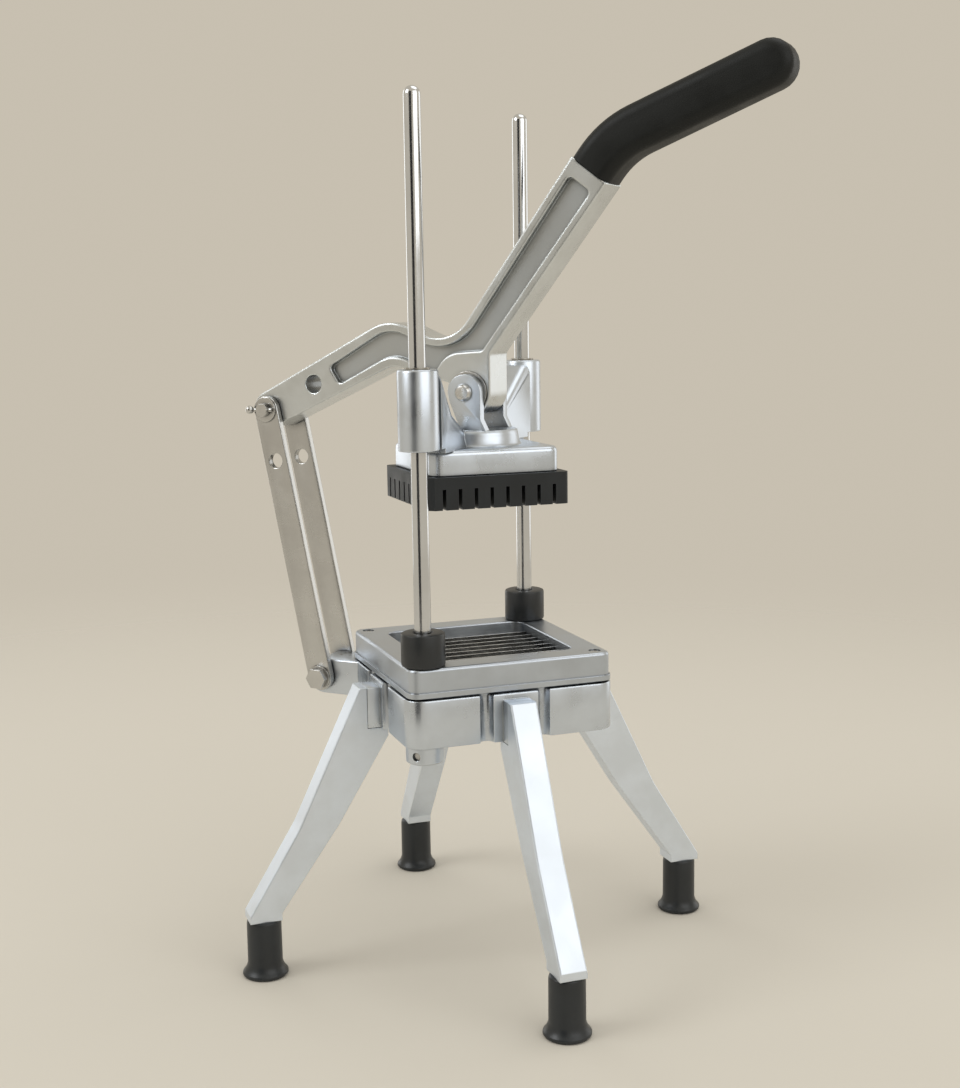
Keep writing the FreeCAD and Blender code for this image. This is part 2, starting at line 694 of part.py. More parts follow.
def blades(name, top, turn):
    """One layer of parallel knife strips across the opening."""
    strips = []
    for index in range(int(number("blade_count"))):
        strip = make("Box", f"{name}_strip_{index}", Length="opening_side", Width="blade_thickness",
                     Height="blade_height")
        shift = f"(({index} - (blade_count - 1) / 2) * blade_pitch - blade_thickness / 2)"
        x = f"(-opening_side / 2) * {math.cos(turn):.6f} - {shift} * {math.sin(turn):.6f}"
        y = f"(-opening_side / 2) * {math.sin(turn):.6f} + {shift} * {math.cos(turn):.6f}"
        place(strip, x, y, f"{top} - blade_height", Rotation(Vector(0, 0, 1), math.degrees(turn)))
        strips.append(strip)
    group(name, strips)


def guide_rod(side, way):
    """Polished rod with a domed end."""
    shank = make("Cylinder", f"rod_shank_{side}", Radius="rod_diameter / 2",
                 Height="rod_top - rod_diameter / 2 - rod_bottom")
    dome = make("Sphere", f"rod_dome_{side}", Radius="rod_diameter / 2")
    place(shank, 0, f"{way} * {ROD_REACH}", "rod_bottom")
    place(dome, 0, f"{way} * {ROD_REACH}", "rod_top - rod_diameter / 2")
    keep(join(f"rod_{side}", [shank, dome]), f"guide_rod_{side}")


def ring(name, outer, bore, height, x, y, z, turn=None):
    """A plain ring, such as a washer, bush or bumper."""
    disc = make("Cylinder", f"{name}_disc", Radius=outer, Height=height)
    hole = make("Cylinder", f"{name}_hole", Radius=bore, Height=height)
    place(disc, x, y, z, turn)
    place(hole, x, y, z, turn)
    cut = DOCUMENT.addObject("Part::Cut", f"{name}_ring")
    cut.Base = disc
    cut.Tool = hole
    return cut


def rod_set_screws():
    """Grub screws that grip the rods in their bosses."""
    screws = []
    for side, way in SIDES.items():
        screw = make("Cylinder", f"set_screw_{side}", Radius="set_screw_diameter / 2",
                     Height="set_screw_length")
        place(screw, 0, f"{way} * (rod_spacing / 2 + rod_diameter / 2)",
              "base_bottom - boss_drop + boss_screw_rise", Rotation(Vector(1, 0, 0), -90 * way))
        screws.append(screw)
    group("rod_set_screws", screws)


def hex_bolt(name, x, z, diameter, head_start, length):
    """Bolt along Y with a hexagon head on the left side."""
    head_height = f"{diameter} * hex_head_share"
    shank = make("Cylinder", f"{name}_shank", Radius=f"{diameter} / 2", Height=length)
    head = make("Prism", f"{name}_hexagon", Circumradius=f"{diameter} * hex_corner_share",
                Height=head_height)
    place(shank, x, f"-({head_start})", z, ALONG_Y)
    place(head, x, f"-({head_start}) - {head_height}", z, ALONG_Y)
    keep(join(f"{name}_solid", [shank, head]), name)


def hex_nut(name, x, z, diameter, start):
    """Nut on the right end of a bolt."""
    height = f"{diameter} * hex_nut_share"
    prism = make("Prism", f"{name}_hexagon", Circumradius=f"{diameter} * hex_corner_share", Height=height)
    hole = make("Cylinder", f"{name}_thread", Radius=f"{diameter} / 2 + rod_seat_gap", Height=height)
    place(prism, x, start, z, ALONG_Y)
    place(hole, x, start, z, ALONG_Y)
    cut = DOCUMENT.addObject("Part::Cut", f"{name}_solid")
    cut.Base = prism
    cut.Tool = hole
    keep(cut, name)


def link(side, way):
    """Flat bar from the base's lug to the lever's rear eye."""
    body = new_part(f"link_{side}")
    start = ("link_foot_x", "link_foot_z")
    end = ("link_head_x", "link_head_z")
    offset = LINK_OUTER if way < 0 else f"-{LINK_INNER}"
    bar = capsule(body, f"link_outline_{side}", "XZ_Plane", start, end, "link_width / 2", offset)
    pad(body, bar, f"link_bar_{side}", "link_thickness", back=True)
    rise = "(link_head_z - link_foot_z)"
    run = "(link_head_x - link_foot_x)"
    share = f"(link_hole_drop / sqrt({rise} * {rise} + {run} * {run}))"
    holes = {
        "foot": (*start, "pin_diameter / 2 + running_gap"),
        "head": (*end, "pin_diameter / 2 + rod_seat_gap"),
        "spare": (f"link_head_x - {run} * {share}", f"link_head_z - {rise} * {share}",
                  "link_hole_diameter / 2"),
    }
    for name, (x, z, radius) in holes.items():
        hole = circle(body, f"link_{name}_hole_{side}", "XZ_Plane", x, z, radius)
        pocket(body, hole, f"link_{name}_cut_{side}", f"2 * ({LINK_OUTER} + cut_over)", middle=True)


def rear_pin():
    """Clevis pin that joins the links to the lever, with its washer and clip."""
    shank = make("Cylinder", "rear_pin_shank", Radius="pin_diameter / 2",
                 Height=f"2 * {LINK_OUTER} + washer_height + rear_pin_tail + rear_pin_head_height / 2")
    head = make("Cylinder", "rear_pin_flange", Radius="rear_pin_head / 2", Height="rear_pin_head_height")
    place(shank, "link_head_x", f"-{LINK_OUTER} - washer_height - rear_pin_tail", "link_head_z", ALONG_Y)
    place(head, "link_head_x", f"{LINK_OUTER}", "link_head_z", ALONG_Y)
    whole = join("rear_pin_whole", [shank, head])
    hole = make("Cylinder", "rear_pin_cross_hole", Radius="clip_diameter / 2 + rod_seat_gap",
                Height="pin_diameter + 2 * cut_over")
    clip_y = f"-{LINK_OUTER} - washer_height - clip_diameter / 2 - loose_gap / 3"
    place(hole, "link_head_x - pin_diameter / 2 - cut_over", clip_y, "link_head_z", ALONG_X)
    drilled = DOCUMENT.addObject("Part::Cut", "rear_pin_drilled")
    drilled.Base = whole
    drilled.Tool = hole
    keep(drilled, "rear_pin")
    washer = ring("rear_pin_washer", "washer_diameter / 2", "pin_diameter / 2 + rod_seat_gap",
                  "washer_height", "link_head_x", f"-{LINK_OUTER} - washer_height", "link_head_z", ALONG_Y)
    keep(washer, "rear_pin_washer")
    wire = make("Cylinder", "clip_wire", Radius="clip_diameter / 2", Height="clip_length")
    knob = make("Sphere", "clip_knob", Radius="clip_head_diameter / 2")
    place(wire, "link_head_x - clip_length * 0.6", clip_y, "link_head_z", ALONG_X)
    place(knob, "link_head_x - clip_length * 0.6", f"{clip_y} - clip_head_diameter / 2 + clip_diameter / 2",
          "link_head_z")
    keep(join("clip_solid", [wire, knob]), "rear_pin_clip")


def shifted(point, dx, dz):
    """A point moved by two bound distances."""
    return (f"{point[0]} + {dx}", f"{point[1]} + {dz}")


def edge_shift(start, end, half):
    """Shift from a centre line to its upper left edge, as bound X and Z distances."""
    run = f"(({end[0]}) - ({start[0]}))"
    rise = f"(({end[1]}) - ({start[1]}))"
    length = f"sqrt({run} * {run} + {rise} * {rise})"
    return (f"-({half}) * {rise} / {length}", f"({half}) * {run} / {length}")


def edge_points(start, end, point, half):
    """Upper left and lower right edge points beside a point of a centre line."""
    dx, dz = edge_shift(start, end, half)
    return shifted(point, dx, dz), shifted(point, f"-1 * ({dx})", f"-1 * ({dz})")


def mitre_points(start, middle, end, half):
    """Upper left and lower right corners of a bar that bends at its middle point."""
    first = edge_shift(start, middle, 1)
    second = edge_shift(middle, end, 1)
    share = f"({half} / (1 + ({first[0]}) * ({second[0]}) + ({first[1]}) * ({second[1]})))"
    dx = f"(({first[0]}) + ({second[0]})) * {share}"
    dz = f"(({first[1]}) + ({second[1]})) * {share}"
    return shifted(middle, dx, dz), shifted(middle, f"-1 * {dx}", f"-1 * {dz}")


PIVOT = ("pivot_x", "pivot_z")
ARM_FOOT = shifted(PIVOT, "-arm_foot_back", "arm_foot_rise")
ARM_HEAD = shifted(PIVOT, "arm_head_reach", "arm_head_rise")
GRIP_BEND = shifted(PIVOT, "grip_bend_reach", "grip_bend_rise")
GRIP_END = shifted(PIVOT, "grip_end_reach", "grip_end_rise")
EYE_FRONT = "(pivot_x + lever_eye_diameter / 2)"
ARM_SLOPE = "((arm_head_rise - arm_foot_rise) / (arm_head_reach + arm_foot_back))"


def arm_front_rise(inset):
    """Height at which the arm's front edge, set in by a rib, meets the pivot eye's front."""
    foot_right = edge_points(ARM_FOOT, ARM_HEAD, ARM_FOOT, f"arm_foot_width / 2 - {inset}")[1]
    return f"{foot_right[1]} + ({EYE_FRONT} - {inset} - ({foot_right[0]})) * {ARM_SLOPE}"


def lever_arm():
    """Cast lever: rear eye, hump, pivot eye, front arm and the tang under the grip."""
    body = new_part("lever_arm")
    rear = ("link_head_x", "link_head_z")
    hump = shifted(PIVOT, "-hump_back", "hump_rise")
    under = shifted(PIVOT, "-hump_under_back", "hump_under_rise")
    rear_top = edge_points(rear, hump, rear, "rear_eye_diameter / 2")[0]
    rear_under = edge_points(rear, under, rear, "rear_eye_diameter / 2")[1]
    valley = edge_points(ARM_FOOT, ARM_HEAD, ARM_FOOT, "arm_foot_width / 2")[0]
    head_left, head_right = edge_points(ARM_FOOT, ARM_HEAD, ARM_HEAD, "arm_head_width / 2")
    corners = [
        rear_top,
        hump,
        valley,
        head_left,
        head_right,
        (EYE_FRONT, arm_front_rise("0")),
        (EYE_FRONT, "pivot_z"),
        shifted(PIVOT, "0", "-lever_eye_diameter / 4"),
        shifted(PIVOT, "-lever_eye_diameter / 2", "lever_eye_diameter / 5"),
        under,
        rear_under,
    ]
    rounds = {1: "hump_round", 2: "valley_round", 5: "rib", 9: "hump_under_round"}
    shape = outline(body, "lever_outline", "XZ_Plane", corners, rounds=rounds)
    pad(body, shape, "lever_pad", "lever_width", middle=True)
    for name, spot, radius in (("rear", rear, "rear_eye_diameter / 2"),
                               ("pivot", PIVOT, "lever_eye_diameter / 2")):
        eye = circle(body, f"{name}_eye_outline", "XZ_Plane", *spot, radius)
        pad(body, eye, f"{name}_eye", "lever_width", middle=True)
    lever_pockets(body)
    DOCUMENT.recompute()
    soften(body, side_edges(body.Tip.Shape, number("lever_width") / 2), "casting_edge", "lever_edges")
    add_tang(body, "tang", pad, "0")
    bores = {
        "rear_bore": (*rear, "pin_diameter / 2 + running_gap"),
        "lever_hole": (*shifted(rear, "lever_hole_ahead", "lever_hole_rise"), "lever_hole_diameter / 2"),
    }
    for name, (x, z, radius) in bores.items():
        hole = circle(body, f"{name}_outline", "XZ_Plane", x, z, radius)
        pocket(body, hole, name, "lever_width + 2 * cut_over", middle=True)
    slot = capsule(body, "pivot_slot_outline", "XZ_Plane", shifted(PIVOT, "slot_front", "-slot_drop"),
                   shifted(PIVOT, "-slot_back", "-slot_drop"), "slot_width / 2")
    pocket(body, slot, "pivot_slot", "lever_width + 2 * cut_over", middle=True)


def add_tang(body, name, cut_or_add, gap):
    """Bent core of the handle, added to the lever and cut from the grip."""
    tip = shifted(GRIP_END, "-tang_height", "-tang_height * 0.4")
    for half, (start, end) in {"root": (ARM_HEAD, GRIP_BEND), "reach": (GRIP_BEND, tip)}.items():
        bar = capsule(body, f"{name}_{half}_outline", "XZ_Plane", start, end, f"tang_height / 2 + {gap}")
        cut_or_add(body, bar, f"{name}_{half}", f"tang_width + 2 * {gap}", middle=True)


def lever_pockets(body):
    """Shallow pockets in both faces, from the rear web over the hump and up the arm."""
    web_x = "link_head_x + lever_hole_ahead + lever_hole_diameter / 2 + rear_web"
    web_z = "link_head_z + lever_hole_rise"
    lobe = "(lobe_radius + 1.4)"
    head_left, head_right = edge_points(ARM_FOOT, ARM_HEAD, ARM_HEAD, "arm_head_width / 2 - rib")
    back_x = f"rib * 1.8 / sqrt(1 + {ARM_SLOPE} * {ARM_SLOPE})"
    back_z = f"{back_x} * {ARM_SLOPE}"
    valley = edge_points(ARM_FOOT, ARM_HEAD, ARM_FOOT, "arm_foot_width / 2 - rib")[0]
    corners = [
        (web_x, f"{web_z} + rib * 2.1"),
        shifted(PIVOT, "-hump_back", "hump_rise - rib * 1.1"),
        shifted(valley, "-rib * 0.45", "-rib * 0.6"),
        shifted(head_left, f"-1 * {back_x}", f"-1 * {back_z}"),
        shifted(head_right, f"-1 * {back_x}", f"-1 * {back_z}"),
        (f"{EYE_FRONT} - rib", arm_front_rise("rib")),
        shifted(PIVOT, "-lobe_radius * 0.68", lobe),
        shifted(PIVOT, f"-{lobe}", "lobe_radius * 0.5"),
        shifted(PIVOT, "-hump_under_back", "hump_under_rise + rib * 1.4"),
        (f"{web_x} + rib * 1.3", web_z),
    ]
    rounds = {corner: "rib * 0.6" for corner in (0, 3, 4, 5, 7, 9)}
    rounds.update({1: "hump_round - rib", 2: "valley_round + rib", 6: "lobe_radius * 0.8",
                   8: "hump_under_round + rib"})
    for side, way in SIDES.items():
        shape = outline(body, f"pocket_outline_{side}", "XZ_Plane", corners, f"{-way} * lever_width / 2",
                        rounds)
        pocket(body, shape, f"pocket_{side}", "pocket_depth", back=way > 0)


def handle_grip():
    """Dipped grip over the tang, bent once and round at its end."""
    body = new_part("handle_grip")
    half = "(grip_height / 2)"
    entry = edge_points(ARM_FOOT, ARM_HEAD, ARM_HEAD, half)
    end = edge_points(GRIP_BEND, GRIP_END, GRIP_END, half)
    bend = mitre_points(ARM_HEAD, GRIP_BEND, GRIP_END, half)
    shape = outline(body, "grip_outline", "XZ_Plane", [entry[0], bend[0], end[0], end[1], bend[1], entry[1]],
                    rounds={1: "grip_bend_round", 4: "grip_bend_round - grip_height"})
    pad(body, shape, "grip_pad", "grip_width", middle=True)
    tip = circle(body, "grip_tip_outline", "XZ_Plane", *GRIP_END, half)
    pad(body, tip, "grip_tip", "grip_width", middle=True)
    DOCUMENT.recompute()
    entry_x = number("pivot_x") + number("arm_head_reach")
    rims = []
    for name in side_edges(body.Tip.Shape, number("grip_width") / 2):
        box = body.Tip.Shape.getElement(name).BoundBox
        if abs((box.XMin + box.XMax) / 2 - entry_x) > 0.5 or box.XLength > number("grip_height"):
            rims.append(name)
    soften(body, rims, "grip_edge", "grip_edges")
    add_tang(body, "tang_way", pocket, "0")


def gusset(body, side, way):
    """Tapered web from a sleeve down to the middle of the plate."""
    sleeve_top = "(sleeve_bottom + sleeve_height)"
    web = solid(body, "AdditiveWedge", f"gusset_{side}",
                Xmin="-gusset_width / 2", Xmax="gusset_width / 2",
                X2min="-gusset_inner_width / 2", X2max="gusset_inner_width / 2",
                Ymin="0", Ymax="rod_spacing / 2 - sleeve_diameter / 2 + gusset_bite - gusset_inner_reach",
                Zmin="0", Zmax=f"{sleeve_top} - 2 * casting_edge - {PLATE_TOP}",
                Z2min="0", Z2max="gusset_bite")
    turn = Rotation(Vector(0, 0, 1), 0 if way < 0 else 180)
    place(web, 0, f"{way} * (rod_spacing / 2 - sleeve_diameter / 2 + gusset_bite)",
          f"{PLATE_TOP} - seat_sink", turn)
    relief = solid(body, "SubtractiveCylinder", f"bumper_clearance_{side}",
                   Radius="bumper_diameter / 2 + block_clearance", Height="sleeve_bottom - plate_bottom")
    place(relief, 0, f"{way} * {ROD_REACH}", "plate_bottom")


def ear_outline(body, side, way):
    """Profile of one ear: round over the pin, with a toe to the front."""
    offset = EAR_OUTER if way < 0 else f"-{EAR_INNER}"
    corners = [
        shifted(PIVOT, "-ear_radius", "ear_radius"),
        shifted(PIVOT, "ear_radius", "ear_radius"),
        ("pivot_x + ear_toe", f"{PLATE_TOP} + pedestal_height"),
        ("pivot_x + ear_toe + ear_flare", f"{PLATE_TOP} - seat_sink"),
        ("pivot_x + ear_heel - ear_flare", f"{PLATE_TOP} - seat_sink"),
        ("pivot_x + ear_heel - ear_flare", f"{PLATE_TOP} + pedestal_height / 2"),
        shifted(PIVOT, "-ear_radius", "-ear_radius * 0.4"),
    ]
    rounds = {0: "ear_radius - loose_gap", 1: "ear_radius - loose_gap", 6: "ear_radius"}
    return outline(body, f"ear_outline_{side}", "XZ_Plane", corners, offset, rounds)


def pusher_head():
    """Casting that slides on the rods: plate, pedestal, two ears, sleeves and gussets."""
    body = new_part("pusher_head")
    half = "plate_side / sqrt(2)"
    diamond = outline(body, "plate_outline", "XY_Plane",
                      [(f"-{half}", "0"), ("0", f"-{half}"), (half, "0"), ("0", half)], "plate_bottom",
                      all_round("plate_corner"))
    pad(body, diamond, "plate", "plate_height")
    DOCUMENT.recompute()
    top = number("plate_bottom") + number("plate_height")
    soften(body, level_edges(body.Tip.Shape, top), "plate_edge", "plate_top_edge")
    soften(body, level_edges(body.Tip.Shape, number("plate_bottom")), "casting_edge / 2", "plate_foot_edge")
    for side, way in SIDES.items():
        ear = ear_outline(body, side, way)
        pad(body, ear, f"ear_{side}", "ear_thickness", back=True)
    DOCUMENT.recompute()
    ear_half = (number("lever_width") / 2 + number("loose_gap") + number("thrust_washer_height")
                + number("ear_thickness"))
    soften(body, side_edges(body.Tip.Shape, ear_half), "casting_edge", "ear_edges")
    pedestal = solid(body, "AdditiveCone", "pedestal", Radius1="pedestal_diameter / 2 + pedestal_edge",
                     Radius2="pedestal_diameter / 2", Height="pedestal_height + seat_sink")
    place(pedestal, "pivot_x", 0, f"{PLATE_TOP} - seat_sink")
    for side, way in SIDES.items():
        gusset(body, side, way)
        sleeve = solid(body, "AdditiveCylinder", f"sleeve_{side}", Radius="sleeve_diameter / 2",
                       Height="sleeve_height - casting_edge")
        place(sleeve, 0, f"{way} * {ROD_REACH}", "sleeve_bottom")
        lip = solid(body, "AdditiveCone", f"sleeve_lip_{side}", Radius1="sleeve_diameter / 2",
                    Radius2="sleeve_diameter / 2 - casting_edge", Height="casting_edge")
        place(lip, 0, f"{way} * {ROD_REACH}", "sleeve_bottom + sleeve_height - casting_edge")
    for side, way in SIDES.items():
        bore = solid(body, "SubtractiveCylinder", f"sleeve_bore_{side}",
                     Radius="bush_diameter / 2 + rod_seat_gap", Height="sleeve_height + 2 * cut_over")
        place(bore, 0, f"{way} * {ROD_REACH}", "sleeve_bottom - cut_over")
    pin = solid(body, "SubtractiveCylinder", "pivot_bore", Radius="pivot_pin_diameter / 2 + rod_seat_gap",
                Height=f"2 * ({EAR_OUTER} + cut_over)")
    place(pin, "pivot_x", f"-{EAR_OUTER} - cut_over", "pivot_z", ALONG_Y)
    for index, (x, y) in enumerate(block_screw_spots()):
        hole = solid(body, "SubtractiveCylinder", f"block_screw_tap_{index}",
                     Radius="block_screw_diameter / 2 + rod_seat_gap",
                     Height="plate_height - block_screw_roof")
        place(hole, x, y, "plate_bottom")


def block_screw_spots():
    """Places of the two block screws, each in the middle of a tooth."""
    reach = "block_screw_teeth * blade_pitch * sqrt(2)"
    return [(reach, "0"), (f"-1 * {reach}", "0")]


def pusher_block():
    """Toothed block that pushes the potato through the blades."""
    bottom = "plate_bottom - block_height"
    blank = DOCUMENT.addObject("PartDesign::Body", "block_blank")
    blank.Placement = Placement(Vector(), DIAGONAL_TURN)
    square_pad(blank, "block", "block_side", bottom, "block_height", "block_corner")
    for side, way in SIDES.items():
        reach = "(rod_spacing / 2 - bumper_diameter / 2 - block_clearance)"
        relief = solid(blank, "SubtractiveBox", f"bumper_relief_{side}", Length="bumper_diameter",
                       Width="bumper_diameter", Height="block_height + 2 * cut_over")
        relief.Placement = Placement(Vector(), Rotation(Vector(0, 0, 1), -45))
        across = "bumper_diameter / 2 / sqrt(2)"
        near = f"{reach} / sqrt(2)" if way > 0 else f"-1 * ({reach} + bumper_diameter) / sqrt(2)"
        place(relief, f"{near} - {across}", f"{near} + {across}", f"{bottom} - cut_over")
    slots = []
    for axis, turn in (("x", 45), ("y", 135)):
        way = Rotation(Vector(0, 0, 1), turn)
        along = way.multVec(Vector(1, 0, 0))
        across = way.multVec(Vector(0, 1, 0))
        for index in range(int(number("blade_count"))):
            slot = make("Box", f"tooth_slot_{axis}_{index}", Length="block_side + 2 * cut_over",
                        Width="tooth_slot", Height="block_height - block_web + cut_over")
            shift = f"(({index} - (blade_count - 1) / 2) * blade_pitch - tooth_slot / 2)"
            x = f"-1 * (block_side / 2 + cut_over) * {along.x:.6f} + {shift} * {across.x:.6f}"
            y = f"-1 * (block_side / 2 + cut_over) * {along.y:.6f} + {shift} * {across.y:.6f}"
            slots.append(place(slot, x, y, f"{bottom} - cut_over", way))
    for index, (x, y) in enumerate(block_screw_spots()):
        hole = make("Cylinder", f"block_screw_way_{index}",
                    Radius="block_screw_diameter / 2 + rod_seat_gap", Height="block_height + 2 * cut_over")
        sink = make("Cylinder", f"block_screw_sink_{index}", Radius="block_screw_head / 2 + rod_seat_gap",
                    Height="block_height - block_web + cut_over")
        slots.append(place(hole, x, y, f"{bottom} - cut_over"))
        slots.append(place(sink, x, y, f"{bottom} - cut_over"))
    cut = DOCUMENT.addObject("Part::Cut", "block_cut")
    cut.Base = blank
    cut.Tool = join("block_slots", slots)
    keep(cut, "pusher_block")


def block_screws():
    """Cap screws that hold the block to the plate from below."""
    screws = []
    for index, (x, y) in enumerate(block_screw_spots()):
        shank = make("Cylinder", f"block_screw_shank_{index}", Radius="block_screw_diameter / 2",
                     Height="block_web + plate_height - block_screw_roof - cut_over")
        head = make("Cylinder", f"block_screw_cap_{index}", Radius="block_screw_head / 2",
                    Height="block_screw_head_height")
        place(shank, x, y, "plate_bottom - block_web")
        place(head, x, y, "plate_bottom - block_web - block_screw_head_height")
        screws.append(join(f"block_screw_{index}", [shank, head]))
    group("block_screws", screws)


def rod_fittings(side, way):
    """Bumper under and bush inside each sleeve."""
    spot = ("0", f"{way} * {ROD_REACH}")
    keep(ring(f"bumper_{side}", "bumper_diameter / 2", "rod_diameter / 2 + rod_seat_gap", "bumper_height",
              *spot, FRAME_TOP), f"rod_bumper_{side}")
    keep(ring(f"bush_{side}", "bush_diameter / 2", "rod_diameter / 2 + running_gap",
              "sleeve_height + bush_proud", *spot, "sleeve_bottom"), f"sleeve_bush_{side}")


def pin_washers(name, x, z, bore, diameter, height, reach):
    """A washer on each side, from a reach outwards along Y."""
    washers = []
    for side, way in SIDES.items():
        start = reach if way > 0 else f"-({reach}) - {height}"
        washers.append(ring(f"{name}_{side}", f"{diameter} / 2", f"{bore} / 2 + rod_seat_gap", height,
                            x, start, z, ALONG_Y))
    group(name, washers)


def build():
    """Make every sub-part."""
    base_casting()
    for name, angle in LEG_ANGLES.items():
        leg(name, angle)
        foot(name, angle)
    leg_screws()
    blade_frame()
    frame_screws()
    blades("blades_upper", BLADE_TOP, math.radians(45))
    blades("blades_lower", f"({BLADE_TOP} - blade_height)", math.radians(135))
    rod_set_screws()
    pusher_head()
    pusher_block()
    block_screws()
    for side, way in SIDES.items():
        guide_rod(side, way)
        rod_fittings(side, way)
        link(side, way)
    rear_pin()
    lever_arm()
    handle_grip()
    pin_washers("link_washers", "link_foot_x", "link_foot_z", "pin_diameter", "washer_diameter",
                "washer_height", LINK_OUTER)
    hex_bolt("link_bolt", "link_foot_x", "link_foot_z", "pin_diameter",
             f"({LINK_OUTER} + washer_height)", f"2 * ({LINK_OUTER} + washer_height) + pin_diameter")
    hex_nut("link_nut", "link_foot_x", "link_foot_z", "pin_diameter", f"{LINK_OUTER} + washer_height")
    pin_washers("thrust_washers", *PIVOT, "pivot_pin_diameter", "thrust_washer_diameter",
                "thrust_washer_height", LINK_INNER)
    hex_bolt("pivot_bolt", *PIVOT, "pivot_pin_diameter", EAR_OUTER, f"2 * {EAR_OUTER} + pivot_pin_diameter")
    hex_nut("pivot_nut", *PIVOT, "pivot_pin_diameter", EAR_OUTER)


def check_and_write():
    """Refuse a failed feature or an invalid shape, then write one file for each sub-part."""
    DOCUMENT.recompute()
    failed = [item.Name for item in DOCUMENT.Objects if "Invalid" in item.State or "Error" in item.State]
    if failed:
        raise SystemExit("Failed features: " + ", ".join(failed))
    os.makedirs("parts", exist_ok=True)
    for item in PARTS:
        shape = item.Shape
        if shape.isNull() or not shape.isValid() or not shape.Solids:
            raise SystemExit(f"{item.Label} has no valid solid")
        shape.exportStep(f"parts/{item.Label}.step")
        print(f"{item.Label}: {len(shape.Solids)} solids, {shape.Volume / 1000:.2f} cm3")


build()
check_and_write()
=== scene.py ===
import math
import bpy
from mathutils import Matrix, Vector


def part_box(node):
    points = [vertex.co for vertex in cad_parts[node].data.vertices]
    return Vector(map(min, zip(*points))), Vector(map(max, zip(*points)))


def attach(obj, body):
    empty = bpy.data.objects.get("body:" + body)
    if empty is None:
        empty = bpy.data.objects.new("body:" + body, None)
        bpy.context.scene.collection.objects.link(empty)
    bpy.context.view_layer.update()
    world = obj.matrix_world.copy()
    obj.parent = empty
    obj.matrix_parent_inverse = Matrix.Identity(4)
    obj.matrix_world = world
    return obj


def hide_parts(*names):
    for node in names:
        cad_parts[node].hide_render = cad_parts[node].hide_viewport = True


bl_info = {
    "name": "French fry cutter",
    "version": (1, 0, 0),
    "blender": (4, 5, 0),
    "location": "3D View > Sidebar > Fry Cutter",
    "description": "Dresses a lever french fry cutter: castings, rods, grip, rubber parts, fasteners and the studio",
    "category": "Add Mesh",
}

import bmesh
import bpy
from bpy.props import FloatProperty, FloatVectorProperty, IntProperty, PointerProperty
from mathutils import Matrix, Vector

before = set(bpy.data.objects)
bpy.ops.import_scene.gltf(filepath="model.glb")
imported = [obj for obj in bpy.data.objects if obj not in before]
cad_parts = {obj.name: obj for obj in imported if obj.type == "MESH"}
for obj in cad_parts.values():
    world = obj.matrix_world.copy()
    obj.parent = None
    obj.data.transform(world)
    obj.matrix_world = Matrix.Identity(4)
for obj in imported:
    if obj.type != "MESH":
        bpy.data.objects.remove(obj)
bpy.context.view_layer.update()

SIDES = ("left", "right")
LEGS = ("front_left", "front_right", "rear_right", "rear_left")
QUARTERS = (-45, 45, 135, 225)  # directions of the base's four sides, in degrees
ARC_STEP = 15  # degrees between the points of a drawn arc
RIM = 0.0005  # an edge that lies this near to a height is part of the rim there
FLUSH = 0.0001  # an edge that lies this near to a plane is in it
MARGIN = 0.001  # how far a cutter stands out, or a test stays clear of a place


# Reading places off the frame

def middle(node):
    """Centre of a CAD node's box."""
    low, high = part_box(node)
    return (Vector(low) + Vector(high)) / 2


def span(node):
    """Size of a CAD node's box."""
    low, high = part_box(node)
    return Vector(high) - Vector(low)


# Modelling helpers

def deselect():
    """Leave edit mode and drop every selection."""
    if bpy.context.object and bpy.context.object.mode != "OBJECT":
        bpy.ops.object.mode_set(mode="OBJECT")
    bpy.ops.object.select_all(action="DESELECT")


def begin(name):
    """Name the primitive that was just added and open it for editing."""
    piece = bpy.context.object
    piece.name = name
    piece.data.name = name
    bpy.ops.object.mode_set(mode="EDIT")
    return piece


def pick(piece, kind, test):
    """Select the verts or edges of the edited piece that pass a test on their centre and direction."""
    bpy.ops.mesh.select_all(action="DESELECT")
    bpy.context.tool_settings.mesh_select_mode = (kind == "verts", kind == "edges", False)
    shape = bmesh.from_edit_mesh(piece.data)
    count = 0
    for part in getattr(shape, kind):
        if kind == "verts":
            centre, way = part.co, part.normal
        else:
            first, second = (corner.co for corner in part.verts)
            centre, way = (first + second) / 2, (second - first).normalized()
        if test(centre, way):
            part.select_set(True)
            count += 1
    shape.select_flush_mode()
    bmesh.update_edit_mesh(piece.data)
    return count


def face_outwards():
    """Turn the normals of the edited piece outwards."""
    bpy.ops.mesh.select_all(action="SELECT")
    bpy.ops.mesh.normals_make_consistent(inside=False)


def polish(piece, width=0.0, segments=2, angle=30.0):
    """Close the edit, place the piece in its mesh, round its edges and shade it."""
    deselect()
    piece.select_set(True)
    bpy.context.view_layer.objects.active = piece
    bpy.ops.object.transform_apply(location=True, rotation=True, scale=True)
    if width:
        edge = piece.modifiers.new("edges", "BEVEL")
        edge.width = width
        edge.segments = segments
        edge.limit_method = "ANGLE"
        edge.angle_limit = math.radians(angle)
        bpy.ops.object.modifier_apply(modifier=edge.name)
    bpy.ops.object.shade_smooth_by_angle(angle=math.radians(angle))
    return piece


def dress(piece, material, slot, body, *nodes):
    """Give a finished piece its material, parent it to its body and hide the nodes that it stands for; the slot is not
    used.
    """
    piece.data.materials.clear()
    piece.data.materials.append(material)
    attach(piece, body)
    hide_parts(*nodes)


def finish_node(node, material):
    """Give a CAD node, left as it is, its procedural material."""
    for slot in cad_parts[node].material_slots:
        slot.material = material


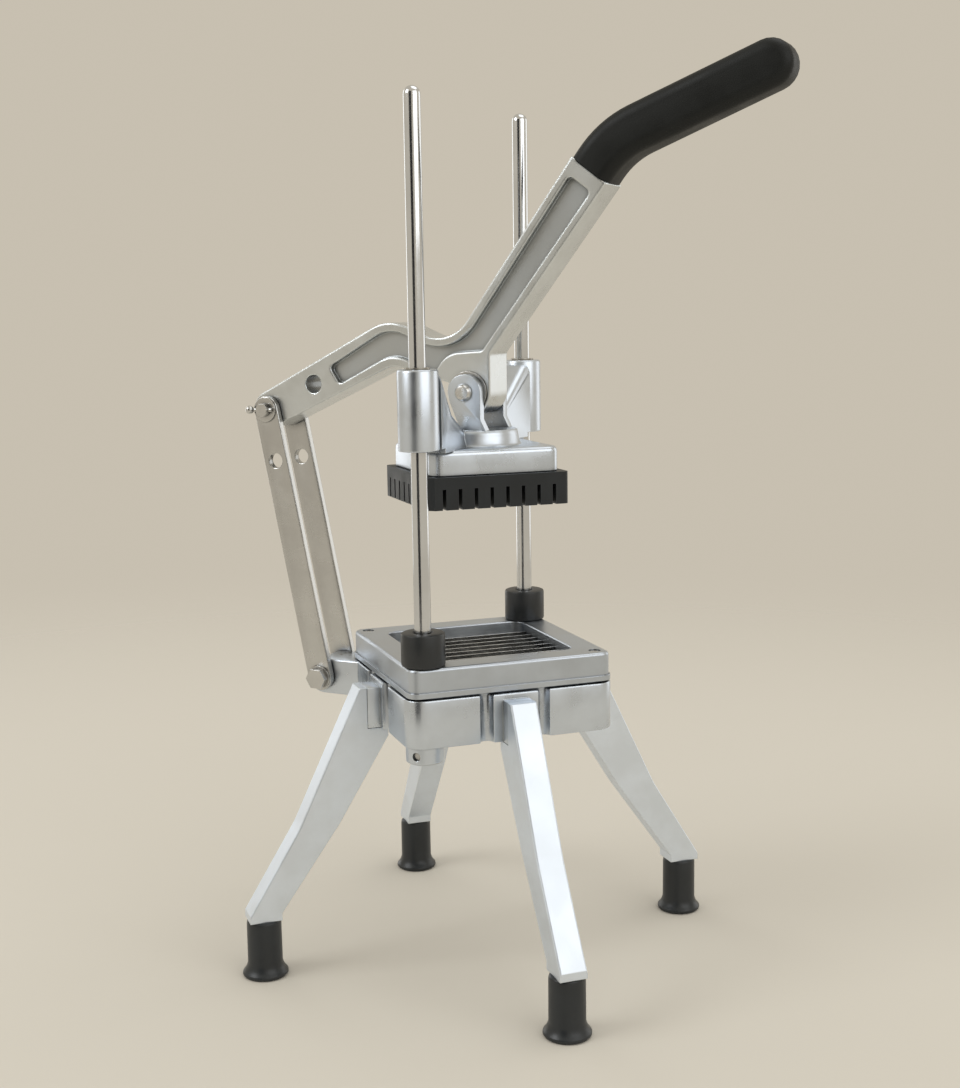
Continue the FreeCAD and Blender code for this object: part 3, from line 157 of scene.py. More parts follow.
def turned(name, profile, place, steps=64, bored=False):
    """Draw a ring upwards through a profile of (radius, height) points, then cap it, or bridge a bored piece."""
    deselect()
    radius, height = profile[0]
    base = Vector(place)
    bpy.ops.mesh.primitive_circle_add(vertices=steps, radius=radius, location=base + Vector((0, 0, height)))
    piece = begin(name)
    bpy.ops.object.mode_set(mode="OBJECT")
    bpy.ops.object.transform_apply(location=True, rotation=True, scale=True)
    bpy.ops.object.mode_set(mode="EDIT")
    bpy.ops.mesh.select_all(action="SELECT")
    for next_radius, next_height in profile[1:]:
        bpy.ops.mesh.extrude_region_move(TRANSFORM_OT_translate={"value": (0, 0, next_height - height)})
        share = next_radius / radius
        bpy.ops.transform.resize(value=(share, share, 1), center_override=base + Vector((0, 0, next_height)))
        radius, height = next_radius, next_height
    bpy.ops.mesh.select_all(action="DESELECT")
    bpy.context.tool_settings.mesh_select_mode = (False, True, False)
    bpy.ops.mesh.select_non_manifold()
    if bored:
        bpy.ops.mesh.bridge_edge_loops()
    else:
        bpy.ops.mesh.fill_holes(sides=0)
    face_outwards()
    return piece


PLANES = {"XY": ((1, 0, 0), (0, 1, 0), (0, 0, 1)), "XZ": ((1, 0, 0), (0, 0, 1), (0, 1, 0)),
          "YZ": ((0, 1, 0), (0, 0, 1), (1, 0, 0))}


def sawn(name, corners, plane, start, thickness):
    """Draw an outline in a plane and extrude it along the plane's normal."""
    deselect()
    across, up, out = (Vector(way) for way in PLANES[plane])
    bpy.ops.mesh.primitive_circle_add(vertices=len(corners), radius=0.01, fill_type="NGON")
    piece = begin(name)
    bpy.context.tool_settings.mesh_select_mode = (True, False, False)
    for index, (u, v) in enumerate(corners):
        bpy.ops.mesh.select_all(action="DESELECT")
        shape = bmesh.from_edit_mesh(piece.data)
        shape.verts.ensure_lookup_table()
        point = shape.verts[index]
        point.select_set(True)
        shape.select_flush_mode()
        bmesh.update_edit_mesh(piece.data)
        bpy.ops.transform.translate(value=across * u + up * v + out * start - point.co)
    bpy.ops.mesh.select_all(action="SELECT")
    bpy.ops.mesh.extrude_region_move(TRANSFORM_OT_translate={"value": out * thickness})
    face_outwards()
    return piece


def round_edges(piece, test, radius, segments=4):
    """Bevel the edges of the edited piece that pass a test on their centre and direction."""
    if not pick(piece, "edges", test):
        raise RuntimeError(f"no edge of {piece.name} to round")
    bpy.ops.mesh.bevel(offset=radius, segments=segments, affect="EDGES", clamp_overlap=True)


def carve(piece, cutter):
    """Cut one closed piece from another and drop the cutter."""
    deselect()
    bpy.context.view_layer.objects.active = piece
    cut = piece.modifiers.new("cut", "BOOLEAN")
    cut.operation = "DIFFERENCE"
    cut.solver = "EXACT"
    cut.object = cutter
    bpy.ops.object.modifier_apply(modifier=cut.name)
    bpy.data.objects.remove(cutter, do_unlink=True)


def drill(piece, place, radius, depth, steps):
    """Drill a round hole across a finished piece, along Y."""
    deselect()
    bpy.ops.mesh.primitive_cylinder_add(vertices=steps, radius=radius, depth=depth, location=place,
                                        rotation=(math.radians(90), 0, 0))
    carve(piece, bpy.context.object)


def arc(x, z, radius, first, last):
    """Points of an arc about a place, from one angle to another in degrees."""
    return [(x + radius * math.cos(turn), z + radius * math.sin(turn))
            for turn in map(math.radians, range(first, last + 1, ARC_STEP))]


def facing(angle):
    """Directions out of and along a side that faces an angle in degrees."""
    out = Vector((math.cos(math.radians(angle)), math.sin(math.radians(angle))))
    return out, Vector((-out.y, out.x))


def upright(way):
    """Whether a direction runs up and down."""
    return abs(way.z) > 0.9


def unite(name, pieces):
    """Join finished pieces of one casting into one object."""
    deselect()
    for piece in pieces:
        piece.select_set(True)
    bpy.context.view_layer.objects.active = pieces[0]
    bpy.ops.object.join()
    whole = bpy.context.object
    whole.name = name
    whole.data.name = name
    return whole


# Materials

MIX_FACTOR, MIX_A, MIX_B, MIX_RESULT = 0, 6, 7, 2  # sockets of a Mix node that mixes colours
CREVICE_SHADE = 0.16  # share of a metal's colour kept where shade is painted into a crevice
PANEL_ROUGHER = 0.14  # roughness that a sunk panel gains
EDGE_SMOOTHER = 0.08  # roughness that an edge loses where wear and painted highlight brighten it
CLOUD_SHADE = 0.75  # share of a polymer's colour that is left in its darker clouds
EDGE_DUST = 0.55  # how far a polymer's edges take the worn colour
METAL_RELIEF, POLYMER_RELIEF = 0.0002, 0.0003  # depth of the bumps
POLYMER_CLOUD, POLYMER_WEAR = 60.0, 0.0006  # scale of the clouds and reach of the edge wear
WARM_CAST = (1.05, 1.01, 0.93)  # colour of the lever's casting against that of the others


def new_material(name):
    """A new material, its node tree and its Principled shader."""
    material = bpy.data.materials.new(name)
    material.use_nodes = True
    tree = material.node_tree
    return material, tree, tree.nodes["Principled BSDF"]


def shade(color, share):
    """A colour made brighter or darker."""
    return tuple(min(1.0, c * share) for c in color)


def opaque(color):
    """A colour with its alpha."""
    return tuple(color) + (1,)


def new_group(name, inputs, outputs):
    """Start a shader node group with named sockets."""
    tree = bpy.data.node_groups.new(name, "ShaderNodeTree")
    for label, kind, default in inputs:
        tree.interface.new_socket(label, in_out="INPUT", socket_type=kind).default_value = default
    for label, kind in outputs:
        tree.interface.new_socket(label, in_out="OUTPUT", socket_type=kind)
    return tree, tree.nodes.new("NodeGroupInput"), tree.nodes.new("NodeGroupOutput")


def node(tree, kind, **settings):
    """Add a node; a setting names a property, or an input socket by its label."""
    made = tree.nodes.new(kind)
    for key, value in settings.items():
        if hasattr(made, key):
            setattr(made, key, value)
        else:
            made.inputs[key.replace("_", " ")].default_value = value
    return made


def link(tree, source, target):
    """Join two sockets."""
    tree.links.new(source, target)


def effect(tree, name, **inputs):
    """Add a shared effect group with its inputs set."""
    return node(tree, "ShaderNodeGroup", node_tree=bpy.data.node_groups[name], **inputs)


def math_node(tree, operation, *values, clamp=False):
    """A Math node fed by sockets or plain numbers."""
    made = node(tree, "ShaderNodeMath", operation=operation, use_clamp=clamp)
    for socket, value in zip(made.inputs, values):
        if isinstance(value, (int, float)):
            socket.default_value = value
        else:
            link(tree, value, socket)
    return made.outputs[0]


def ramp(tree, value, low, high):
    """Map a value smoothly from a range to 0..1."""
    made = node(tree, "ShaderNodeMapRange", interpolation_type="SMOOTHSTEP", From_Min=low, From_Max=high)
    link(tree, value, made.inputs["Value"])
    return made.outputs["Result"]


def blend_colors(tree, mask, first, second):
    """Mix two colours by a mask."""
    made = node(tree, "ShaderNodeMix", data_type="RGBA")
    link(tree, mask, made.inputs[MIX_FACTOR])
    for socket, value in ((made.inputs[MIX_A], first), (made.inputs[MIX_B], second)):
        if isinstance(value, tuple):
            socket.default_value = value
        else:
            link(tree, value, socket)
    return made.outputs[MIX_RESULT]


def cloudy(tree, texture, roughness, spread):
    """Roughness that drifts about a middle value with the cloudy mask."""
    return math_node(tree, "MULTIPLY_ADD", texture.outputs["Cloud"], spread, roughness - spread / 2)


def edge_wear_highlight_group():
    """Mask of the brightened outer edges, partly wear and partly a painted highlight."""
    tree, entry, result = new_group(
        "Edge wear",
        [("Radius", "NodeSocketFloat", 0.0008), ("Scale", "NodeSocketFloat", 400.0), ("Break", "NodeSocketFloat", 0.5)],
        [("Mask", "NodeSocketFloat")])
    rounded = node(tree, "ShaderNodeBevel", samples=6)
    link(tree, entry.outputs["Radius"], rounded.inputs["Radius"])
    surface = node(tree, "ShaderNodeNewGeometry")
    dot = node(tree, "ShaderNodeVectorMath", operation="DOT_PRODUCT")
    link(tree, rounded.outputs["Normal"], dot.inputs[0])
    link(tree, surface.outputs["Normal"], dot.inputs[1])
    edge = ramp(tree, dot.outputs["Value"], 0.995, 0.90)
    spots = node(tree, "ShaderNodeTexNoise", Detail=3.0, Roughness=0.6)
    place = node(tree, "ShaderNodeTexCoord")
    link(tree, place.outputs["Object"], spots.inputs["Vector"])
    link(tree, entry.outputs["Scale"], spots.inputs["Scale"])
    broken = math_node(tree, "MULTIPLY", ramp(tree, spots.outputs["Fac"], 0.35, 0.6), entry.outputs["Break"])
    whole = math_node(tree, "SUBTRACT", 1.0, entry.outputs["Break"])
    link(tree, math_node(tree, "MULTIPLY", edge, math_node(tree, "ADD", broken, whole), clamp=True),
         result.inputs["Mask"])


def grain_group():
    """Fine cast or ground grain: a height and a cloudy mask."""
    tree, entry, result = new_group(
        "Grain",
        [("Fine", "NodeSocketFloat", 1500.0), ("Cloud", "NodeSocketFloat", 45.0),
         ("Stretch", "NodeSocketVector", (1.0, 1.0, 1.0))],
        [("Height", "NodeSocketFloat"), ("Cloud", "NodeSocketFloat")])
    place = node(tree, "ShaderNodeTexCoord")
    stretch = node(tree, "ShaderNodeVectorMath", operation="MULTIPLY")
    link(tree, place.outputs["Object"], stretch.inputs[0])
    link(tree, entry.outputs["Stretch"], stretch.inputs[1])
    fine = node(tree, "ShaderNodeTexNoise", Detail=4.0, Roughness=0.6)
    cloud = node(tree, "ShaderNodeTexNoise", Detail=5.0, Roughness=0.55)
    for texture, scale in ((fine, "Fine"), (cloud, "Cloud")):
        link(tree, entry.outputs[scale], texture.inputs["Scale"])
    link(tree, stretch.outputs["Vector"], fine.inputs["Vector"])
    link(tree, place.outputs["Object"], cloud.inputs["Vector"])
    link(tree, fine.outputs["Fac"], result.inputs["Height"])
    link(tree, ramp(tree, cloud.outputs["Fac"], 0.3, 0.7), result.inputs["Cloud"])


def painted_crevice_shade_group():
    """Mask of the corners and grooves that light doesn't reach, where shade is painted into the colour."""
    tree, entry, result = new_group(
        "Crevice", [("Reach", "NodeSocketFloat", 0.012), ("Depth", "NodeSocketFloat", 0.6)],
        [("Mask", "NodeSocketFloat")])
    shelter = node(tree, "ShaderNodeAmbientOcclusion", samples=8)
    link(tree, entry.outputs["Reach"], shelter.inputs["Distance"])
    closed = ramp(tree, shelter.outputs["AO"], 0.82, 0.35)
    link(tree, math_node(tree, "MULTIPLY", closed, entry.outputs["Depth"]), result.inputs["Mask"])


def panel_group():
    """Mask of the side faces that lie deeper than a distance from the lever plane."""
    tree, entry, result = new_group(
        "Sunk panel", [("Half", "NodeSocketFloat", 0.0092)], [("Mask", "NodeSocketFloat")])
    place = node(tree, "ShaderNodeTexCoord")
    split = node(tree, "ShaderNodeSeparateXYZ")
    facing = node(tree, "ShaderNodeSeparateXYZ")
    link(tree, place.outputs["Object"], split.inputs[0])
    link(tree, place.outputs["Normal"], facing.inputs[0])
    depth = math_node(tree, "LESS_THAN", math_node(tree, "ABSOLUTE", split.outputs["Y"]), entry.outputs["Half"])
    flat = math_node(tree, "GREATER_THAN", math_node(tree, "ABSOLUTE", facing.outputs["Y"]), 0.9)
    link(tree, math_node(tree, "MULTIPLY", depth, flat), result.inputs["Mask"])


def metal(name, color, bright, roughness, spread, grain, bump, fine=1500.0, stretch=(1.0, 1.0, 1.0), wear=0.0007,
          crevice=0.75, panel=None, broken=0.5):
    """A metal with cloudy polish, fine grain, painted shade in its crevices, and brighter edges that are partly wear
    and partly a painted highlight.
    """
    material, tree, shader = new_material(name)
    shader.inputs["Metallic"].default_value = 1.0
    texture = effect(tree, "Grain", Fine=fine, Stretch=stretch)
    edges = effect(tree, "Edge wear", Radius=wear, Break=broken)
    base = blend_colors(tree, texture.outputs["Cloud"], opaque(shade(color, 1 - grain)), opaque(color))
    rough = cloudy(tree, texture, roughness, spread)
    if panel:
        sunk = effect(tree, "Sunk panel")
        base = blend_colors(tree, sunk.outputs["Mask"], base, opaque(panel))
        rough = math_node(tree, "ADD", rough, math_node(tree, "MULTIPLY", sunk.outputs["Mask"], PANEL_ROUGHER))
    # painted highlight and wear: the outer edges take the brighter edge colour
    base = blend_colors(tree, edges.outputs["Mask"], base, opaque(bright))
    # painted shade: the colour darkens in corners and grooves, found by ambient occlusion
    painted_shade = effect(tree, "Crevice", Depth=crevice)
    base = blend_colors(tree, painted_shade.outputs["Mask"], base, opaque(shade(color, CREVICE_SHADE)))
    link(tree, base, shader.inputs["Base Color"])
    edge_drop = math_node(tree, "MULTIPLY", edges.outputs["Mask"], EDGE_SMOOTHER)
    link(tree, math_node(tree, "SUBTRACT", rough, edge_drop), shader.inputs["Roughness"])
    relief = node(tree, "ShaderNodeBump", Strength=bump, Distance=METAL_RELIEF)
    rounded = node(tree, "ShaderNodeBevel", samples=6, Radius=wear)
    link(tree, rounded.outputs["Normal"], relief.inputs["Normal"])
    link(tree, texture.outputs["Height"], relief.inputs["Height"])
    link(tree, relief.outputs["Normal"], shader.inputs["Normal"])
    return material


def polymer(name, color, worn, roughness, spread, bump, fine=900.0, specular=0.5):
    """Rubber, vinyl or plastic with fine texture, cloudy sheen and dusty edges."""
    material, tree, shader = new_material(name)
    shader.inputs["Specular IOR Level"].default_value = specular
    texture = effect(tree, "Grain", Fine=fine, Cloud=POLYMER_CLOUD)
    edges = effect(tree, "Edge wear", Radius=POLYMER_WEAR)
    base = blend_colors(tree, texture.outputs["Cloud"], opaque(shade(color, CLOUD_SHADE)), opaque(color))
    soft = math_node(tree, "MULTIPLY", edges.outputs["Mask"], EDGE_DUST)
    link(tree, blend_colors(tree, soft, base, opaque(worn)), shader.inputs["Base Color"])
    link(tree, cloudy(tree, texture, roughness, spread), shader.inputs["Roughness"])
    relief = node(tree, "ShaderNodeBump", Strength=bump, Distance=POLYMER_RELIEF)
    link(tree, texture.outputs["Height"], relief.inputs["Height"])
    link(tree, relief.outputs["Normal"], shader.inputs["Normal"])
    return material


def make_materials():
    """All finishes of the cutter."""
    style = bpy.context.scene.cutter_finish
    edge_wear_highlight_group()
    grain_group()
    painted_crevice_shade_group()
    panel_group()
    cast, satin = tuple(style.cast_color), style.cast_roughness
    # edge colour of the castings, both wear and painted highlight
    bright = shade(cast, 1.3)
    warm = tuple(c * share for c, share in zip(cast, WARM_CAST))
    # name, colour, edge colour (on a metal both wear and painted highlight), roughness, its spread, a metal's depth of
    # clouds, bump
    return {
        "casting": metal("polished_casting", cast, bright, satin, 0.10, 0.10, 0.10, wear=0.0005, broken=0.25),
        "frame": metal("satin_frame_casting", shade(cast, 0.82), cast, satin + 0.04, 0.12, 0.10, 0.08,
                       wear=0.0003, broken=0.0),
        "leg": metal("polished_leg", shade(cast, 1.2), bright, satin + 0.14, 0.10, 0.08, 0.10,
                     stretch=(1.0, 1.0, 0.15)),
        "lever": metal("lever_casting", warm, bright, satin, 0.12, 0.12, 0.10, panel=shade(warm, 0.74),
                       wear=0.0014, broken=0.0),
        "rod": metal("guide_rod_steel", (0.74, 0.755, 0.775), (0.9, 0.9, 0.9), 0.13, 0.05, 0.05, 0.02,
                     stretch=(1.0, 1.0, 0.05), crevice=0.3),
        "link": metal("link_steel", (0.62, 0.62, 0.61), (0.95, 0.95, 0.94), 0.26, 0.08, 0.10, 0.12,
                      fine=900.0, stretch=(1.0, 1.0, 0.06), wear=0.0004, broken=0.0),
        "blade": metal("blade_steel", (0.62, 0.62, 0.61), (0.9, 0.9, 0.9), 0.22, 0.08, 0.10, 0.05, wear=0.0002),
        "fastener": metal("fastener_steel", (0.66, 0.66, 0.65), (0.85, 0.85, 0.85), 0.24, 0.10, 0.15, 0.05,
                          wear=0.0004),
        "bush": metal("bush_bronze", (0.58, 0.55, 0.49), (0.7, 0.67, 0.6), 0.35, 0.1, 0.15, 0.05, wear=0.0003),
        "rubber": polymer("foot_rubber", (0.016, 0.019, 0.021), (0.07, 0.076, 0.08), 0.36, 0.10, 0.10),
        "bumper": polymer("bumper_rubber", (0.018, 0.020, 0.021), (0.05, 0.053, 0.055), 0.42, 0.10, 0.08),
        "block": polymer("block_plastic", (0.014, 0.017, 0.019), (0.05, 0.055, 0.06), 0.46, 0.10, 0.10,
                         specular=0.4),
        "grip": polymer("grip_vinyl", (0.008, 0.009, 0.008), (0.02, 0.022, 0.02), 0.50, 0.12, 0.25,
                        fine=1400.0, specular=0.28),
    }


FINISHES = {}


def finish(name):
    """A finish by its name, made on first use."""
    if not FINISHES:
        FINISHES.update(make_materials())
    return FINISHES[name]


# Settings that a user would change

class CutterFinish(bpy.types.PropertyGroup):
    """Colours and polish."""

    cast_color: FloatVectorProperty(name="Casting colour", description="Colour of the polished castings",
                                    subtype="COLOR", size=3, default=(0.68, 0.735, 0.81), min=0.0, max=1.0)
    cast_roughness: FloatProperty(name="Casting roughness", description="How blurred the castings' polish is",
                                  subtype="FACTOR", default=0.30, min=0.0, max=1.0)


class CutterStage(bpy.types.PropertyGroup):
    """Studio and camera."""

    floor_color: FloatVectorProperty(name="Floor colour", description="Colour of the floor",
                                     subtype="COLOR", size=3, default=(0.59, 0.545, 0.46), min=0.0, max=1.0)
    backdrop_color: FloatVectorProperty(name="Backdrop colour", description="Colour of the backdrop",
                                        subtype="COLOR", size=3, default=(0.575, 0.525, 0.437), min=0.0, max=1.0)
    camera_place: FloatVectorProperty(name="Camera place", description="Where the camera stands",
                                      subtype="TRANSLATION", unit="LENGTH", size=3,
                                      default=(0.3895, -0.8144, 0.3884))
    camera_turn: FloatProperty(name="Camera turn", description="Angle of the view left of +Y",
                               subtype="ANGLE", default=math.radians(25.41))
    camera_pitch: FloatProperty(name="Camera pitch", description="Angle of the view above level",
                                subtype="ANGLE", default=math.radians(-8.80))
    camera_roll: FloatProperty(name="Camera roll", description="Tilt of the picture",
                               subtype="ANGLE", default=math.radians(-0.84))
    camera_lens: FloatProperty(name="Lens", description="Focal length on a 36 mm high sensor, in millimetres",
                               default=50.54, min=10.0)


class CutterRubber(bpy.types.PropertyGroup):
    """Feet and bumpers."""

    foot_bead: FloatProperty(name="Foot bead", description="Width of the rounded rims of a foot",
                             subtype="DISTANCE", unit="LENGTH", default=0.00028, min=0.0)
    steps: IntProperty(name="Steps round", description="Faces round each turned piece", default=64, min=12)


# Operators, one for each piece or group of like pieces

class FRY_OT_castings(bpy.types.Operator):
    """Finish the blade frame, leg and lever castings"""

    bl_idname = "fry.castings"
    bl_label = "Castings"

    def execute(self, context):
        finish_node("blade_frame", finish("frame"))
        for leg in LEGS:
            finish_node(f"leg_{leg}", finish("leg"))
        finish_node("lever_arm", finish("lever"))
        return {"FINISHED"}


class FRY_OT_base(bpy.types.Operator):
    """Model the base: fluted skirt, leg pads and seats, rod bosses and link lug"""

    bl_idname = "fry.base"
    bl_label = "Base"

    bottom, top, half = 0.1445, 0.1735, 0.063
    corner_reach, corner_radius = 0.087, 0.011
    top_edge, low_edge = 0.0010, 0.0008
    seam = 0.0011
    flute_radius, flute_place, pad_proud = 0.0038, 0.0174, 0.0012
    cavity_side, cavity_corner, roof = 0.116, 0.002, 0.006
    opening_side, opening_corner = 0.092, 0.012
    spigot_side, spigot_corner, spigot_depth, spigot_opening = 0.1185, 0.010, 0.004, 0.0915
    boss_bore, boss_radius, boss_edge, boss_height, boss_drop = 0.0048, 0.011, 0.0008, 0.0375, 0.010
    hole_radius, hole_depth, hole_reach, hole_rise = 0.0025, 0.009, 0.0095, 0.005
    lug_radius, lug_inset, lug_width, lug_edge = 0.011, 0.014, 0.025, 0.001
    seat_inner, seat_outer, seat_half, seat_height, seat_edge = 0.0585, 0.072, 0.008, 0.0245, 0.0006

    def execute(self, context):
        pieces = [self.skirt(), self.spigot(), self.lug(), *map(self.seat, QUARTERS)]
        pieces += [self.boss(middle(f"guide_rod_{side}").y) for side in SIDES]
        whole = unite("fluted_base", pieces)
        dress(whole, finish("casting"), "cast_aluminium", "stand", "base_casting")
        return {"FINISHED"}

    def spigot(self):
        """Raised square that carries the blade frame and leaves a narrow seam below its edge."""
        piece = self.prism(self.spigot_side, self.spigot_corner, self.top - self.spigot_depth, self.top)
        carve(piece, self.prism(self.spigot_opening, self.opening_corner, self.bottom, self.top + MARGIN))
        return polish(piece)

    def skirt(self):
        """Square skirt with round corners, a pad and two flutes on each side, open in the middle."""
        top, half, flute = self.top - self.seam, self.half, self.flute_radius
        corners = []
        for angle in QUARTERS:
            out, along = facing(angle)
            points = [(-half, half)]
            for centre in (-self.flute_place, self.flute_place):
                points += [(centre - flute * math.cos(turn), half - flute * math.sin(turn))
                           for turn in map(math.radians, range(0, 181, 30))]
                if centre < 0:
                    points += [(centre + flute, half + self.pad_proud), (-centre - flute, half + self.pad_proud)]
            corners += [along * run + out * reach for run, reach in points]
        piece = sawn("base_skirt", corners, "XY", self.bottom, top - self.bottom)
        round_edges(piece, lambda spot, way: upright(way) and spot.xy.length > self.corner_reach,
                    self.corner_radius, 8)
        round_edges(piece, lambda spot, way: spot.z > top - RIM, self.top_edge, 2)
        round_edges(piece, lambda spot, way: spot.z < self.bottom + RIM, self.low_edge, 2)
        polish(piece)
        below = self.bottom - MARGIN
        carve(piece, self.prism(self.cavity_side, self.cavity_corner, below, self.top - self.roof))
        carve(piece, self.prism(self.opening_side, self.opening_corner, below, self.top + MARGIN))
        return polish(piece)

    def prism(self, side, corner, bottom, top):
        """Square block with round corners, its corners on the axes."""
        reach = side / math.sqrt(2)
        piece = sawn("cutter", [(reach, 0), (0, reach), (-reach, 0), (0, -reach)], "XY", bottom, top - bottom)
        round_edges(piece, lambda spot, way: upright(way), corner, 5)
        return polish(piece)

    def boss(self, reach):
        """Boss below a corner that holds a guide rod, drilled for its set screw."""
        bore, outer, edge = self.boss_bore, self.boss_radius, self.boss_edge
        start = self.bottom - self.boss_drop
        profile = [(bore, 0), (outer - edge, 0), (outer, edge), (outer, self.boss_height), (bore, self.boss_height)]
        piece = polish(turned("rod_boss", profile, (0, reach, start), bored=True), angle=35)
        hole = (0, reach + math.copysign(self.hole_reach, reach), start + self.hole_rise)
        drill(piece, hole, self.hole_radius, self.hole_depth, 24)
        return polish(piece, angle=35)

    def lug(self):
        """Lug at the rear corner, round about the link bolt."""
        bolt, radius, half = middle("link_bolt"), self.lug_radius, self.lug_width / 2
        root = -self.half * math.sqrt(2) + self.lug_inset
        corners = [(root, bolt.z + radius), *arc(bolt.x, bolt.z, radius, 90, 270), (root, bolt.z - radius)]
        piece = sawn("link_lug", corners, "XZ", -half, self.lug_width)
        round_edges(piece, lambda spot, way: abs(abs(spot.y) - half) < FLUSH and spot.x < root - MARGIN,
                    self.lug_edge, 3)
        return polish(piece, angle=35)

    def seat(self, angle):
        """Block on the skirt that a leg is screwed against."""
        out, along = facing(angle)
        inner, outer, half = self.seat_inner, self.seat_outer, self.seat_half
        corners = [out * reach + along * run
                   for reach, run in ((inner, -half), (outer, -half), (outer, half), (inner, half))]
        piece = sawn("leg_seat", corners, "XY", self.bottom, self.seat_height)
        return polish(piece, width=self.seat_edge)


class FRY_OT_head(bpy.types.Operator):
    """Model the pusher head: plate, pedestal, ears, sleeves and rounded gussets"""

    bl_idname = "fry.head"
    bl_label = "Pusher head"

    foot = 0.3085  # height at which the pedestal, the ears and the gussets start
    plate_half, plate_height, plate_corner, plate_top_edge, plate_low_edge = 0.05515, 0.0146, 0.007, 0.003, 0.0005
    sleeve_length, sleeve_radius, sleeve_bore = 0.0446, 0.01145, 0.00702
    wall_inset = 0.0095  # from a rod's axis to the end of its gusset
    web_width, web_toe, web_edge = 0.019, 0.0170, 0.0055
    web_taper, taper_reach = 0.62, 0.04  # the web narrows to this share inside this reach
    ear_inner, ear_thick, ear_radius, ear_edge = 0.0136, 0.005, 0.0104, 0.0009
    sweep_foot, sweep_run, sweep_rise = 0.3170, 0.0038, 0.0068

    def execute(self, context):
        low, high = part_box("pusher_head")
        bolt = middle("pivot_bolt")
        pieces = [self.plate(low.z), self.pedestal(bolt)]
        for reach in [middle(f"guide_rod_{side}").y for side in SIDES]:
            pieces += [self.sleeve(reach, high.z), self.gusset(reach, high.z)]
        pieces += [self.ear(bolt, side) for side in (-1, 1)]
        whole = unite("head_casting", pieces)
        dress(whole, finish("casting"), "cast_aluminium", "head", "pusher_head")
        return {"FINISHED"}

    def plate(self, bottom):
        """Square plate with its corners on the axes."""
        top, half = bottom + self.plate_height, self.plate_half
        piece = sawn("head_plate", [(-half, 0), (0, -half), (half, 0), (0, half)], "XY", bottom, self.plate_height)
        round_edges(piece, lambda spot, way: upright(way), self.plate_corner, 6)
        round_edges(piece, lambda spot, way: spot.z > top - RIM, self.plate_top_edge, 4)
        round_edges(piece, lambda spot, way: spot.z < bottom + RIM, self.plate_low_edge, 1)
        return polish(piece)

    def pedestal(self, bolt):
        """Round seat below the ears, dished on top."""
        profile = [(0.0262, 0), (0.0254, 0.0006), (0.0244, 0.0020), (0.0236, 0.0070), (0.0232, 0.0088),
                   (0.0224, 0.0095), (0.0150, 0.0095)]
        return polish(turned("head_pedestal", profile, (bolt.x, 0, self.foot)), angle=40)

    def sleeve(self, reach, top):
        """Bored sleeve with a bright rim."""
        length, outer, bore = self.sleeve_length, self.sleeve_radius, self.sleeve_bore
        profile = [(bore, 0), (outer - 0.0005, 0), (outer, 0.0005), (outer, length - 0.0012),
                   (outer - 0.0004, length - 0.0004), (outer - 0.0010, length), (bore + 0.0006, length),
                   (bore, length - 0.0006)]
        return polish(turned("head_sleeve", profile, (0, reach, top - length), bored=True), angle=40)

    def gusset(self, reach, top):
        """Web with a rounded ridge from the top of a sleeve down to the pedestal."""
        side = 1 if reach > 0 else -1
        wall = abs(reach) - self.wall_inset
        relief = (wall - 0.0042, 0.3112)
        corners = [(wall, relief[1]), (wall, top - 0.0025), (wall - 0.004, top - 0.0035), (wall - 0.0255, 0.3290),
                   (self.web_toe, 0.3160), (self.web_toe, self.foot), (relief[0], self.foot), relief]
        piece = sawn("head_gusset", [(side * y, z) for y, z in corners], "YZ", -self.web_width / 2, self.web_width)
        pick(piece, "verts", lambda spot, way: abs(spot.y) < self.taper_reach)
        bpy.ops.transform.resize(value=(self.web_taper, 1, 1), center_override=(0, 0, 0))
        round_edges(piece, lambda spot, way: abs(spot.x) > 0.005 and abs(way.x) < 0.5
                    and spot.z > 0.3200 and abs(spot.y) < wall - MARGIN, self.web_edge, 6)
        face_outwards()
        return polish(piece, angle=50)

    def ear(self, bolt, side):
        """Ear round over the pivot bolt, its toe swept onto the pedestal."""
        x, z, radius = bolt.x, bolt.z, self.ear_radius
        sweep = [(x + radius + self.sweep_run * (1 - math.cos(angle)),
                  self.sweep_foot + self.sweep_rise * (1 - math.sin(angle)))
                 for angle in map(math.radians, range(0, 91, ARC_STEP))]
        corners = [*arc(x, z, radius, 0, 180), (x - 0.0094, z - 0.0050), (x - 0.0026, 0.3180),
                   (x - 0.0020, self.foot), (x + 0.0135, self.foot), *sweep, (x + radius, self.sweep_foot + 0.0075)]
        inner, thick = self.ear_inner, self.ear_thick
        piece = sawn("head_ear", corners, "XZ", inner if side > 0 else -inner - thick, thick)
        outer = side * (inner + thick)
        round_edges(piece, lambda spot, way: abs(spot.y - outer) < FLUSH and spot.z > self.foot + MARGIN,
                    self.ear_edge, 3)
        return polish(piece, angle=35)


class FRY_OT_bolts(bpy.types.Operator):
    """Turn the pivot bolt with its domed head"""

    bl_idname = "fry.bolts"
    bl_label = "Pivot bolt"

    head_depth = 0.0033

    def execute(self, context):
        low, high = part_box("pivot_bolt")
        centre = middle("pivot_bolt")
        length = high.y - low.y - self.head_depth
        profile = [(0.0024, -0.0036), (0.0039, -0.0032), (0.0049, -0.0020), (0.0052, -0.0008), (0.0052, 0),
                   (0.0030, 0), (0.0030, length - 0.0004), (0.0026, length)]
        piece = turned("domed_pivot_bolt", profile, (0, 0, 0), 32)
        bpy.ops.object.mode_set(mode="OBJECT")
        piece.rotation_euler = (math.radians(-90), 0, 0)
        piece.location = (centre.x, low.y + self.head_depth, centre.z)
        polish(piece, angle=35)
        dress(piece, finish("fastener"), "fastener_steel", "head", "pivot_bolt")
        return {"FINISHED"}


